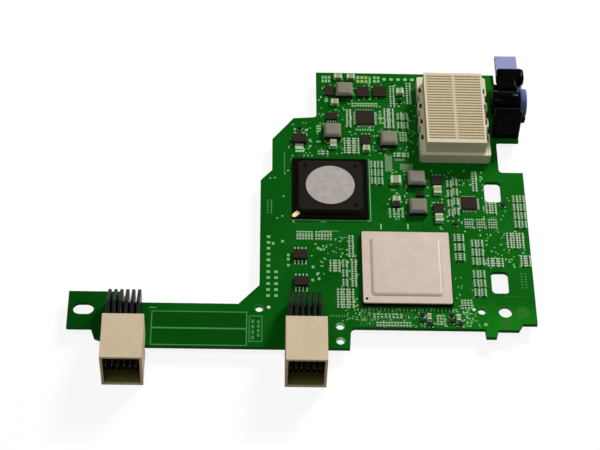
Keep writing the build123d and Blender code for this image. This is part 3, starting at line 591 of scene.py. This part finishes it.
def add_disc(batch, u, v, radius, material, height=PAD_HIGH, sides=12):
    add_prism(batch, circle(u, v, radius, sides), PRINT_LOW, height, material)


def add_ring(batch, u, v, inner, outer, low, high, material):
    corners = ((inner, low), (outer, low), (outer, high), (inner, high))
    loops = [add_loop(batch, circle(u, v, radius, ROUND_SIDES), z) for radius, z in corners]
    for here, there in zip(loops, loops[1:] + loops[:1]):
        add_faces(batch, band(here, there), material)


def add_line(batch, start, end, width, material):
    du = end[0] - start[0]
    dv = end[1] - start[1]
    length = math.hypot(du, dv)
    nu = -dv / length * width / 2
    nv = du / length * width / 2
    outline = [(start[0] - nu, start[1] - nv), (end[0] - nu, end[1] - nv),
               (end[0] + nu, end[1] + nv), (start[0] + nu, start[1] + nv)]
    add_prism(batch, outline, PRINT_LOW, LINE_HIGH, material)


def add_ball(batch, centre, reach, height, material):
    u, v, z = centre
    tilts = [math.pi * (i / BALL_ROWS - 0.5) for i in range(BALL_ROWS + 1)]
    loops = []
    for tilt in tilts:
        outline = circle(u, v, reach * max(math.cos(tilt), BALL_TIP), BALL_SIDES)
        loops.append(add_loop(batch, outline, z + height * math.sin(tilt)))
    for foot, top in zip(loops, loops[1:]):
        add_faces(batch, band(foot, top), material)
    add_faces(batch, [loops[0][::-1], loops[-1]], material)


# Pieces ride on a body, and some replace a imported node
def add_piece(mesh, name, materials, body, node):
    for material in materials:
        mesh.materials.append(material)
    piece = bpy.data.objects.new(name, mesh)
    bpy.context.scene.collection.objects.link(piece)
    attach(piece, body)
    if node:
        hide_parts(node)


def make(batch, name, node=None, smooth=False):
    mesh = bpy.data.meshes.new(name)
    mesh.from_pydata(batch["verts"], [], batch["faces"])
    add_piece(mesh, name, batch["materials"], "card", node)
    mesh.polygons.foreach_set("material_index", batch["slots"])
    mesh.polygons.foreach_set("use_smooth", [smooth] * len(mesh.polygons))
    mesh.update()


def make_from(work, name, materials, body="card", node=None):
    mesh = bpy.data.meshes.new(name)
    work.to_mesh(mesh)
    work.free()
    add_piece(mesh, name, materials, body, node)
    return mesh


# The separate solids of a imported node, as boxes on the board
def islands(node):
    mesh = frame["nodes"][node].data
    keys = [tuple(round(c * MICRONS_PER_M) for c in vertex.co) for vertex in mesh.vertices]
    parent = {key: key for key in keys}

    def root(key):
        while parent[key] != key:
            parent[key] = parent[parent[key]]
            key = parent[key]
        return key

    for polygon in mesh.polygons:
        corners = [root(keys[i]) for i in polygon.vertices]
        for other in corners[1:]:
            parent[root(other)] = root(corners[0])
    groups = {}
    for key in parent:
        groups.setdefault(root(key), []).append(key)
    return sorted(island_box(group) for group in groups.values())


def island_box(group):
    low = [min(key[i] for key in group) / MICRONS_PER_MM for i in range(3)]
    high = [max(key[i] for key in group) / MICRONS_PER_MM for i in range(3)]
    return (low[0] + DATUM_U, low[1] + DATUM_V, low[2]), (high[0] + DATUM_U, high[1] + DATUM_V, high[2])


def paint(node, material):
    mesh = frame["nodes"][node].data
    mesh.materials.clear()
    mesh.materials.append(material)


def round_edges(work, edges, offset, segments):
    rounded = bmesh.ops.bevel(work, geom=list(edges), offset=offset / MM_PER_M, segments=segments,
                              affect="EDGES", profile=ROUND_PROFILE, clamp_overlap=True)
    for face in rounded["faces"]:
        face.smooth = True


# A node with its sharp edges rounded. Others are pairs of a material and a test for the faces that take it.
def soften(node, material, width, body="card", segments=2, others=()):
    work = bmesh.new()
    work.from_mesh(frame["nodes"][node].data)
    bmesh.ops.remove_doubles(work, verts=work.verts, dist=WELD)
    bmesh.ops.dissolve_limit(work, angle_limit=math.radians(FLAT_DEG), verts=work.verts, edges=work.edges)
    pairs = [edge for edge in work.edges if len(edge.link_faces) == 2]
    sharp = [edge for edge in pairs if edge.calc_face_angle() > math.radians(SHARP_DEG)]
    round_edges(work, sharp, width, segments)
    bmesh.ops.dissolve_degenerate(work, dist=SPECK, edges=work.edges)
    materials = [material] + [other for other, _ in others]
    mesh = make_from(work, node + "_soft", materials, body, node)
    for index, (_, choose) in enumerate(others, 1):
        for polygon in mesh.polygons:
            if choose(polygon):
                polygon.material_index = index


# Faces that look into a header's socket, which take painted shade
def socket_shade_faces(node, floor_only):
    low, high = islands(node)[0]

    def choose(polygon):
        u, v, z = board_place(polygon.center)
        held_u = low[0] + SOCKET_MARGIN < u < high[0] - SOCKET_MARGIN
        held_z = low[2] + SOCKET_MARGIN < z < high[2] - SOCKET_MARGIN
        held = held_u and held_z and v > low[1] + SOCKET_MOUTH
        return held and (not floor_only or polygon.normal[2] > FLOOR_NORMAL)
    return choose


# Inner faces of the pockets along both sides of the mezzanine base, painted dark as shade in the recesses
def port_shade_faces(node):
    low, high = islands(node)[0]

    def choose(polygon):
        u, _, z = board_place(polygon.center)
        inset = min(u - low[0], high[0] - u)
        pocket = any(near < inset < far for near, far in PORT_INSETS)
        return pocket and PORT_LOW < z < high[2] - PORT_BELOW_TOP
    return choose


# Upright faces, which take painted shade on the inductors
def upright_in_shade(polygon):
    return abs(polygon.normal[2]) < UPRIGHT_NORMAL


# The lever's arm beside the barrel, in front of its tab, which takes the blue with painted shade
def arm_in_shade(polygon):
    return board_place(polygon.center)[1] < ARM_BACK


# Boxes changed along one axis
def long_axis(low, high):
    return 0 if high[0] - low[0] >= high[1] - low[1] else 1


def grown(low, high, axis, amount):
    return spanned(low, high, axis, low[axis] - amount, high[axis] + amount)


def spanned(low, high, axis, start, end):
    new_low = list(low)
    new_high = list(high)
    new_low[axis] = start
    new_high[axis] = end
    return new_low, new_high


# Small resistors and capacitors: a body, two tinned ends and solder on the pads
def tinned_chip(batch, low, high, material, end_share):
    along = long_axis(low, high)
    across = 1 - along
    reach = (high[along] - low[along]) * end_share
    body_low, body_high = grown(*grown(low, high, along, -reach), across, -BODY_SHY)
    body_high[2] -= BODY_SHY
    add_box(batch, body_low, body_high, material)
    for start, end in ((low[along], low[along] + reach), (high[along] - reach, high[along])):
        end_low, end_high = spanned(low, high, along, start, end)
        add_box(batch, end_low, end_high, TIN)
        pad_low, pad_high = grown(*grown(end_low, end_high, along, SOLDER_OUT), across, SOLDER_SIDE)
        pad_low[2] = PRINT_LOW
        pad_high[2] = SOLDER_HIGH
        add_box(batch, pad_low, pad_high, TIN)


def add_ground(batch, low, high):
    ground_low = (low[0] - GROUND_OUT_U, low[1] - GROUND_OUT_V, PRINT_LOW)
    ground_high = (high[0] + GROUND_OUT_U, high[1] + GROUND_OUT_V, STAIN_HIGH)
    add_box(batch, ground_low, ground_high, GROUND)


def chip_group(node):
    batch = new_batch(TIN, CERAMIC, RESISTOR, GROUND)
    for low, high in islands(node):
        tinned_chip(batch, low, high, rng.choice((CERAMIC, CERAMIC, RESISTOR)), CHIP_END_SHARE)
        add_ground(batch, low, high)
    make(batch, node + "_parts", node)


def capacitor_group(node):
    batch = new_batch(TIN, TAN)
    for low, high in islands(node):
        tinned_chip(batch, low, high, TAN, CAPACITOR_END_SHARE)
    make(batch, node + "_parts", node)


# Resistor arrays: a body with four tinned ends on each long side
def array_end(batch, low, high, along, middle, half):
    across = 1 - along
    near = (low[across] - ARRAY_FOOT_OUT, low[across] + ARRAY_FOOT_IN)
    far = (high[across] - ARRAY_FOOT_IN, high[across] + ARRAY_FOOT_OUT)
    for start, end in (near, far):
        end_low, end_high = spanned(low, high, along, middle - half, middle + half)
        end_low[across] = max(start, low[across])
        end_high[across] = min(end, high[across])
        end_low[2] = PRINT_LOW
        end_high[2] = high[2] + SKIN
        add_box(batch, end_low, end_high, TIN)
        foot_low, foot_high = spanned(end_low, end_high, across, start, end)
        foot_high[2] = ARRAY_FOOT_HIGH
        add_box(batch, foot_low, foot_high, TIN)


def array_group(node):
    batch = new_batch(TIN, ARRAY, GROUND)
    for low, high in islands(node):
        along = long_axis(low, high)
        add_box(batch, *grown(low, high, 1 - along, -ARRAY_SHY), ARRAY)
        step = (high[along] - low[along]) / ARRAY_ENDS
        for i in range(ARRAY_ENDS):
            array_end(batch, low, high, along, low[along] + step * (i + 0.5), step * ARRAY_END_HALF)
        add_ground(batch, low, high)
    make(batch, node + "_parts", node)


# Leads on two sides: a foot on the board and a stem that rises towards the nearest chip
def lead_group(node, centres, rise):
    batch = new_batch(TIN)
    for low, high in islands(node):
        middle = ((low[0] + high[0]) / 2, (low[1] + high[1]) / 2)
        centre = min(centres, key=lambda c: math.hypot(c[0] - middle[0], c[1] - middle[1]))
        along = long_axis(low, high)
        cut = middle[along]
        foot = (low[along], cut)
        stem = (cut - LEAD_LAP, high[along])
        if centre[along] <= cut:
            foot = (cut, high[along])
            stem = (low[along], cut + LEAD_LAP)
        for span, top in ((foot, LEAD_FOOT_HIGH), (stem, rise)):
            lead_low, lead_high = spanned(low, high, along, *span)
            lead_high[2] = top
            add_box(batch, lead_low, lead_high, TIN)
    make(batch, node + "_bent", node)


# Leads on all four sides of a square chip
def quad_group(node, chip, count):
    batch = new_batch(TIN)
    low, high = islands(chip)[0]
    step = (high[0] - low[0]) / (count + 2 * QUAD_MARGIN)
    for i in range(count):
        u = low[0] + step * (i + 0.5 + QUAD_MARGIN)
        v = low[1] + step * (i + 0.5 + QUAD_MARGIN)
        for corner, side in ((low, -1), (high, 1)):
            for near, far, top in QUAD_LEAD:
                us = sorted((corner[0] + side * near, corner[0] + side * far))
                vs = sorted((corner[1] + side * near, corner[1] + side * far))
                half = QUAD_LEAD_HALF
                add_box(batch, (us[0], v - half, PRINT_LOW), (us[1], v + half, top), TIN)
                add_box(batch, (u - half, vs[0], PRINT_LOW), (u + half, vs[1], top), TIN)
    make(batch, node + "_bent", node)


def ball_group(node):
    batch = new_batch(TIN)
    for low, high in islands(node):
        centre = [(a + b) / 2 for a, b in zip(low, high)]
        add_ball(batch, centre, (high[0] - low[0]) * BALL_SPREAD, (high[2] - low[2]) / 2, TIN)
    make(batch, node + "_round", node, smooth=True)


# Small black parts stand on three leads each
def small_leads(node):
    batch = new_batch(TIN)
    half_u, half_v = SMALL_LEAD_HALF
    for low, high in islands(node):
        middle = (low[0] + high[0]) / 2
        reach = (high[0] - low[0]) / 2 - SMALL_LEAD_IN
        front = low[1] - SMALL_LEAD_OUT
        back = high[1] + SMALL_LEAD_OUT
        for u, v in ((middle - reach, front), (middle + reach, front), (middle, back)):
            lead_low = (u - half_u, v - half_v, PRINT_LOW)
            add_box(batch, lead_low, (u + half_u, v + half_v, SMALL_LEAD_HIGH), TIN)
    make(batch, node + "_leads")


# What is printed, etched or soldered on the board itself
def strip_print(batch):
    for field in STRIP_FIELDS:
        add_rect(batch, *field, SHADE, FIELD_HIGH)
    add_frame(batch, *STRIP_FRAME, STRIP_FRAME_LINE, FAINT)
    for bar in STRIP_BARS:
        add_rect(batch, *bar, FAINT)
    add_frame(batch, *STRIP_BOX, STRIP_BOX_LINE, FAINT)
    for row in STRIP_MARKS:
        add_row(batch, *row, FAINT)


def chip_print(batch):
    for line in CAP_FAINT_LINES:
        add_rect(batch, *line, FAINT)
    for line in CAP_WHITE_LINES:
        add_rect(batch, *line, SILK)
    add_disc(batch, *CAP_CORNER_DOT, SILK)
    add_rect(batch, *CAP_DASH, FAINT)
    for bar in LID_BARS:
        add_rect(batch, *bar, SILK)
    for u, v in DOTS:
        add_disc(batch, u, v, DOT_R, SILK)
    for row in CAP_ROWS:
        add_row(batch, *row, FAINT)


def test_pads(batch):
    for row in TEST_ROWS:
        add_row(batch, *row, PAD)
    for u, v in TEST_PADS:
        add_rect(batch, u, v, *TEST_PAD, PAD)


def power_pads(batch):
    for pad in DULL_PADS:
        add_rect(batch, *pad, DULL_PAD)
    add_grid(batch, *GOLD_GRID, GOLD_PAD)
    add_rect(batch, *BACK_BAR, PAD)
    for grid in BACK_GRIDS:
        add_grid(batch, *grid, PAD)
    add_rect(batch, *TRANSISTOR_PAD, SILK)
    u, v, radius = BACK_DISC
    for i in range(BACK_DISCS):
        add_disc(batch, u + BACK_DISC_STEP * i, v, radius, PAD)
    for pad in INDUCTOR_PADS:
        add_rect(batch, *pad, PAD)
    for u, v in SQUARE_PADS:
        add_rect(batch, u, v, *SQUARE_PAD, PAD)
    for row in POWER_ROWS:
        add_row(batch, *row, PAD)


# Short leads along one edge of four power chips
def power_leads(batch):
    add_row(batch, *FRONT_LEADS, SILK, FRONT_LEAD_HIGH)
    for u, v in TRIPLE_LEADS:
        for side in (-1, 0, 1):
            add_rect(batch, u + TRIPLE_LEAD_STEP * side, v, *TRIPLE_LEAD, SILK, TRIPLE_LEAD_HIGH)


# The hole walls are brightened with painted light over their own pale and green colours
def hole_rims(batch):
    for holes, wall in ((PALE_HOLES, BRIGHT), (GREEN_HOLES, LIT_LAMINATE)):
        for u, v in holes:
            add_ring(batch, u, v, *HOLE_RIM, PRINT_LOW, LINE_HIGH, TRACE)
            add_ring(batch, u, v, *HOLE_WALL, WALL_LOW, WALL_HIGH, wall)
    add_ring(batch, DATUM_U, DATUM_V, *MOUNT_WALL, WALL_LOW, WALL_HIGH, LIT_LAMINATE)
    add_row(batch, *HOLE_ROW, FAINT)
    for disc in BRIGHT_DISCS:
        add_disc(batch, *disc, BRIGHT, sides=HOLE_DISC_SIDES)
    add_disc(batch, *HOLE_DISC, PAD, sides=HOLE_DISC_SIDES)
    for i in range(EDGE_DOT_ROWS):
        for u in EDGE_DOT_US:
            add_disc(batch, u, EDGE_DOT_V + EDGE_DOT_STEP * i, EDGE_DOT_R, FAINT)
    for stamp in STAMPS:
        add_disc(batch, *stamp, STAMP, STAIN_HIGH, ROUND_SIDES)


def on_board(u, v):
    start = Vector(point(u, v, PROBE_HIGH))
    return frame["nodes"]["board"].ray_cast(start, Vector((0, 0, -1)), distance=PROBE_REACH)[0]


def via_field(batch, u0, v0, u1, v1, count, material):
    for _ in range(count):
        u = rng.uniform(u0, u1)
        v = rng.uniform(v0, v1)
        if on_board(u, v):
            add_disc(batch, u, v, VIA_R, material, FIELD_HIGH, VIA_SIDES)


def pad_field(batch, u0, v0, u1, v1, count, material):
    for _ in range(count):
        u = rng.uniform(u0, u1)
        v = rng.uniform(v0, v1)
        size = rng.choice(LOOSE_PAD_SIZES)
        if on_board(u, v):
            add_rect(batch, u, v, *size, material, LINE_HIGH)


def routed_lines(batch, u0, v0, u1, v1, count, lean, material):
    for i in range(count):
        start = (u0 + (u1 - u0) * (i + 0.5) / count, v0)
        bend = (start[0], v0 + (v1 - v0) * rng.uniform(*LINE_BEND))
        end = (start[0] + lean, v1)
        add_line(batch, start, bend, LINE_WIDTH, material)
        add_line(batch, bend, end, LINE_WIDTH, material)


def lid_marks(batch):
    add_row(batch, *LID_FRONT_ROW, PAD)
    first_u, first_v, radius = LID_BACK_DOT
    for i in range(LID_BACK_DOTS):
        v = first_v if i < LID_BACK_STEP_AT else LID_BACK_STEP_V
        add_disc(batch, first_u + LID_BACK_DOT_STEP * i, v, radius, PAD)


def board_details():
    batch = new_batch(SILK, FAINT, SHADE, PAD, GOLD_PAD, STAMP, TRACE, BRIGHT, LIT_LAMINATE, DULL_PAD)
    strip_print(batch)
    chip_print(batch)
    test_pads(batch)
    power_pads(batch)
    power_leads(batch)
    hole_rims(batch)
    for area in PALE_VIAS:
        via_field(batch, *area, PAD)
    for area in GREEN_VIAS:
        via_field(batch, *area, TRACE)
    for area in LOOSE_PADS:
        pad_field(batch, *area, PAD)
    lid_marks(batch)
    routed_lines(batch, *FRONT_LINES, FAINT)
    routed_lines(batch, *CAP_LINES, TRACE)
    routed_lines(batch, *MIDDLE_LINES, TRACE)
    for start, end in zip(CORNER_LINE, CORNER_LINE[1:]):
        add_line(batch, start, end, CORNER_LINE_WIDTH, TRACE)
    make(batch, "board_print")


# Contacts down in the slots of the mezzanine connector, and the tinted ribs between the slots
def slot_contacts(batch, u, v, top):
    for i in range(CONTACTS):
        start = u + CONTACT_START + CONTACT_PITCH * i
        low = (start, v + CONTACT_V[0], top - CONTACT_DEPTH[0])
        high = (start + CONTACT_WIDTH, v + CONTACT_V[1], top - CONTACT_DEPTH[1])
        add_box(batch, low, high, CREAM_DEEP)


def mezzanine_contacts():
    batch = new_batch(CREAM_DEEP, CREAM_RIB)
    low, high = islands("mezzanine_block")[0]
    top = high[2]
    front = low[1] + SLOT_FRONT
    pitch = (high[1] - low[1] - SLOT_FRONT - SLOT_MARGIN) / SLOT_ROWS
    for row in range(SLOT_ROWS):
        v = front + pitch * row
        for column in range(SLOT_COLUMNS):
            u = low[0] + SLOT_MARGIN + column * COLUMN_STEP
            slot_contacts(batch, u, v, top)
            tint_low = (u, v + TINT_START, top - TINT_DEPTH)
            add_box(batch, tint_low, (u + COLUMN_LENGTH, v + pitch - TINT_GAP, top + SKIN), CREAM_RIB)
    rib = low[0] + RIB_START
    rib_high = (rib + RIB_U[1], high[1] - SLOT_MARGIN, top + SKIN)
    add_box(batch, (rib + RIB_U[0], front, top - TINT_DEPTH), rib_high, CREAM_RIB)
    make(batch, "mezzanine_contacts")


# Lever carrier with its moulded edges rounded
def rounded_block(work, low, high, rounding, chamfer):
    before = set(work.verts)
    size = [(b - a) / MM_PER_M for a, b in zip(low, high)]
    middle = Vector(point(*[(a + b) / 2 for a, b in zip(low, high)]))
    matrix = Matrix.Translation(middle) @ Matrix.Diagonal((*size, 1.0))
    made = bmesh.ops.create_cube(work, size=1.0, matrix=matrix)
    if chamfer:
        edges = {edge for vertex in made["verts"] for edge in vertex.link_edges}
        back = max(edges, key=lambda edge: sum(vertex.co[1] + vertex.co[2] for vertex in edge.verts))
        bmesh.ops.bevel(work, geom=[back], offset=chamfer / MM_PER_M, segments=1, affect="EDGES",
                        profile=ROUND_PROFILE)
    edges = {edge for vertex in set(work.verts) - before for edge in vertex.link_edges}
    round_edges(work, edges, rounding, CARRIER_ROUND_STEPS)


def turned_barrel(work):
    before = set(work.faces)
    chain = [work.verts.new(point(u, PIVOT[0], PIVOT[1] + radius)) for u, radius in BARREL]
    edges = [work.edges.new(pair) for pair in zip(chain, chain[1:])]
    bmesh.ops.spin(work, geom=chain + edges, cent=point(0, *PIVOT), axis=(1, 0, 0), angle=2 * math.pi,
                   steps=BARREL_STEPS, use_merge=True)
    faces = list(set(work.faces) - before)
    bmesh.ops.recalc_face_normals(work, faces=faces)
    for face in faces:
        face.smooth = abs(face.normal[0]) < BARREL_END_NORMAL


def rounded_carrier():
    work = bmesh.new()
    for block in CARRIER_BLOCKS:
        rounded_block(work, *block)
    turned_barrel(work)
    bmesh.ops.remove_doubles(work, verts=work.verts, dist=FINE_WELD)
    make_from(work, "carrier_rounded", (BLACK,), node="lever_carrier")


# Shallow dark dimples near the corners of the moulded cap, all but the marked one
def cap_dimples():
    batch = new_batch(SUBSTRATE)
    low, high = islands("cap_chip_cap")[0]
    middle_u = (low[0] + high[0]) / 2
    middle_v = (low[1] + high[1]) / 2
    for side_u, side_v in ((-1, 1), (1, 1), (1, -1)):
        spot = (middle_u + DIMPLE_REACH * side_u, middle_v + DIMPLE_REACH * side_v)
        add_prism(batch, circle(*spot, DIMPLE_R, DIMPLE_SIDES), high[2], high[2] + SKIN, SUBSTRATE)
    make(batch, "cap_dimples")


# Raised field of the lid. Its edge is steep at the foot and runs softly into the top.
def rounded_rectangle(low, high, inset, radius):
    outline = []
    near = inset + radius
    centres = ((high[0] - near, high[1] - near), (low[0] + near, high[1] - near),
               (low[0] + near, low[1] + near), (high[0] - near, low[1] + near))
    for quarter, (u, v) in enumerate(centres):
        for i in range(LID_CORNER_STEPS + 1):
            turn = math.pi / 2 * (quarter + i / LID_CORNER_STEPS)
            outline.append((u + radius * math.cos(turn), v + radius * math.sin(turn)))
    return outline


def lid_field():
    low, high = islands("lid_chip_lid")[0]
    work = bmesh.new()
    rows = []
    for k in range(LID_ROWS + 1):
        share = k / LID_ROWS
        reach = LID_BEVEL * share
        z = high[2] + SKIN - LID_STEP * (1 - share) ** LID_CURVE
        outline = rounded_rectangle(low, high, LID_INSET + reach, LID_CORNER - reach)
        rows.append([work.verts.new(point(u, v, z)) for u, v in outline])
    work.faces.new(rows[0][::-1])
    work.faces.new(rows[-1])
    for foot, top in zip(rows, rows[1:]):
        for corners in band(foot, top):
            work.faces.new(corners).smooth = True
    make_from(work, "lid_field", (LID,))


# Pin-one dot on the lid's border
def lid_dot():
    batch = new_batch(SUBSTRATE)
    border = islands("lid_chip_lid")[0][1][2] - LID_STEP
    add_prism(batch, circle(*LID_DOT, DIMPLE_SIDES), border, border + SKIN, SUBSTRATE)
    make(batch, "lid_dot")


# The finish of every node, and the pieces that stand on or for them
def dress_headers():
    for side in ("left", "right"):
        shroud = "header_" + side + "_shroud"
        # The shroud's faces inside the socket take painted shade
        inner = ((SOCKET_SHADE, socket_shade_faces(shroud, False)), (SOCKET_FLOOR_SHADE, socket_shade_faces(shroud, True)))
        soften(shroud, BEIGE, SHROUD_ROUND, others=inner)
        soften("header_" + side + "_wafers", WAFER, WAFER_ROUND, segments=3)
        paint("header_" + side + "_blades", SHADED_BLADE)
        paint("header_" + side + "_tails", TIN)


def dress_mezzanine():
    soften("mezzanine_base", CREAM, MEZZANINE_BASE_ROUND, others=((PORT_SHADE, port_shade_faces("mezzanine_base")),))
    soften("mezzanine_block", CREAM, MEZZANINE_BLOCK_ROUND, segments=1)
    mezzanine_contacts()


def dress_large_chips():
    soften("lid_chip_lid", LID, LID_ROUND, segments=3)
    lid_field()
    lid_dot()
    paint("lid_chip_substrate", SUBSTRATE)
    paint("cap_chip_substrate", SUBSTRATE)
    soften("cap_chip_cap", CAP, CAP_ROUND, segments=3)
    cap_dimples()
    paint("cap_chip_slug", SLUG)
    paint("cap_chip_mark", GOLD)


def dress_lever():
    rounded_carrier()
    soften("lever", BLUE, LEVER_ROUND, body="lever", segments=3, others=((BLUE_ARM_SHADE, arm_in_shade),))


def dress_bodies():
    soften("inductors", FERRITE, INDUCTOR_ROUND, others=((FERRITE_SIDE_SHADE, upright_in_shade),))
    for node in ("control_chip", "clock_chip", "memory_chips", "power_chips", "transistors"):
        soften(node, MOULD, CHIP_ROUND)
    soften("black_parts", MOULD_DARK, CHIP_ROUND)


def dress_leads():
    small_leads("black_parts")
    paint("transistor_tabs", TIN)
    paint("transistor_leads", TIN)
    quad_group("control_leads", "control_chip", CONTROL_LEADS)
    quad_group("clock_leads", "clock_chip", CLOCK_LEADS)
    lead_group("memory_leads", MEMORY_CENTRES, MEMORY_RISE)
    ball_group("lid_chip_balls")
    ball_group("cap_chip_balls")


def dress_small_parts():
    capacitor_group("tan_capacitors")
    array_group("resistor_arrays")
    for node in ("chips_right", "chips_upper", "chips_lower"):
        chip_group(node)


# What the camera sees directly, mirrored or through glass is the white background
def seen(nodes, links):
    path = nodes.new("ShaderNodeLightPath")
    total = path.outputs["Is Camera Ray"]
    for name in ("Is Glossy Ray", "Is Transmission Ray"):
        join = nodes.new("ShaderNodeMath")
        join.operation = "MAXIMUM"
        links.new(total, join.inputs[0])
        links.new(path.outputs[name], join.inputs[1])
        total = join.outputs["Value"]
    return total


def floor_material():
    material, nodes, links, bsdf = shader("floor_white")
    bsdf.inputs["Base Color"].default_value = (FLOOR_GREY, FLOOR_GREY, FLOOR_GREY, 1)
    bsdf.inputs["Roughness"].default_value = FLOOR_ROUGH
    bsdf.inputs["Specular IOR Level"].default_value = 0.0
    glow = nodes.new("ShaderNodeEmission")
    glow.inputs["Color"].default_value = (1, 1, 1, 1)
    glow.inputs["Strength"].default_value = FLOOR_GLOW
    paper = nodes.new("ShaderNodeBsdfDiffuse")
    paper.inputs["Color"].default_value = (FLOOR_SHADE, FLOOR_SHADE, FLOOR_SHADE, 1)
    white = nodes.new("ShaderNodeAddShader")
    links.new(glow.outputs["Emission"], white.inputs[0])
    links.new(paper.outputs["BSDF"], white.inputs[1])
    mix = nodes.new("ShaderNodeMixShader")
    links.new(seen(nodes, links), mix.inputs["Fac"])
    links.new(bsdf.outputs["BSDF"], mix.inputs[1])
    links.new(white.outputs["Shader"], mix.inputs[2])
    links.new(mix.outputs["Shader"], nodes["Material Output"].inputs["Surface"])
    return material


def floor():
    mesh = bpy.data.meshes.new("floor")
    reach = FLOOR_REACH
    z = FLOOR_Z / MM_PER_M
    corners = [(-reach, -reach, z), (reach, -reach, z), (reach, reach, z), (-reach, reach, z)]
    mesh.from_pydata(corners, [], [(0, 1, 2, 3)])
    mesh.materials.append(floor_material())
    piece = bpy.data.objects.new("floor", mesh)
    bpy.context.scene.collection.objects.link(piece)


def world():
    sky = bpy.data.worlds.new("studio")
    bpy.context.scene.world = sky
    sky.use_nodes = True
    nodes = sky.node_tree.nodes
    links = sky.node_tree.links
    back = nodes["Background"]
    mix = nodes.new("ShaderNodeMix")
    mix.data_type = "FLOAT"
    mix.inputs["A"].default_value = SKY_LIGHT
    mix.inputs["B"].default_value = SKY_SEEN
    links.new(seen(nodes, links), mix.inputs["Factor"])
    links.new(mix.outputs["Result"], back.inputs["Strength"])
    back.inputs["Color"].default_value = (1, 1, 1, 1)


def lamp(name, offset, size, power):
    data = bpy.data.lights.new(name, "AREA")
    data.shape = "DISK"
    data.size = size
    data.energy = power
    piece = bpy.data.objects.new(name, data)
    middle = Vector(point(*MIDDLE))
    piece.location = middle + Vector(offset)
    piece.rotation_euler = (-Vector(offset)).to_track_quat("-Z", "Y").to_euler()
    bpy.context.scene.collection.objects.link(piece)


def camera():
    data = bpy.data.cameras.new("camera")
    data.sensor_width = CAMERA_SENSOR
    data.lens = CAMERA_LENS
    data.clip_start = CAMERA_NEAR
    piece = bpy.data.objects.new("camera", data)
    turn = Matrix((CAMERA_RIGHT, CAMERA_UP, CAMERA_BACK)).transposed()
    piece.matrix_world = Matrix.Translation(Vector(point(*CAMERA_PLACE))) @ turn.to_4x4()
    bpy.context.scene.collection.objects.link(piece)
    bpy.context.scene.camera = piece


paint("board", BOARD)
dress_headers()
dress_mezzanine()
dress_large_chips()
dress_lever()
dress_bodies()
dress_leads()
dress_small_parts()
board_details()
floor()
world()
for row in LAMPS:
    lamp(*row)
camera()
bpy.context.scene.view_settings.view_transform = "Standard"
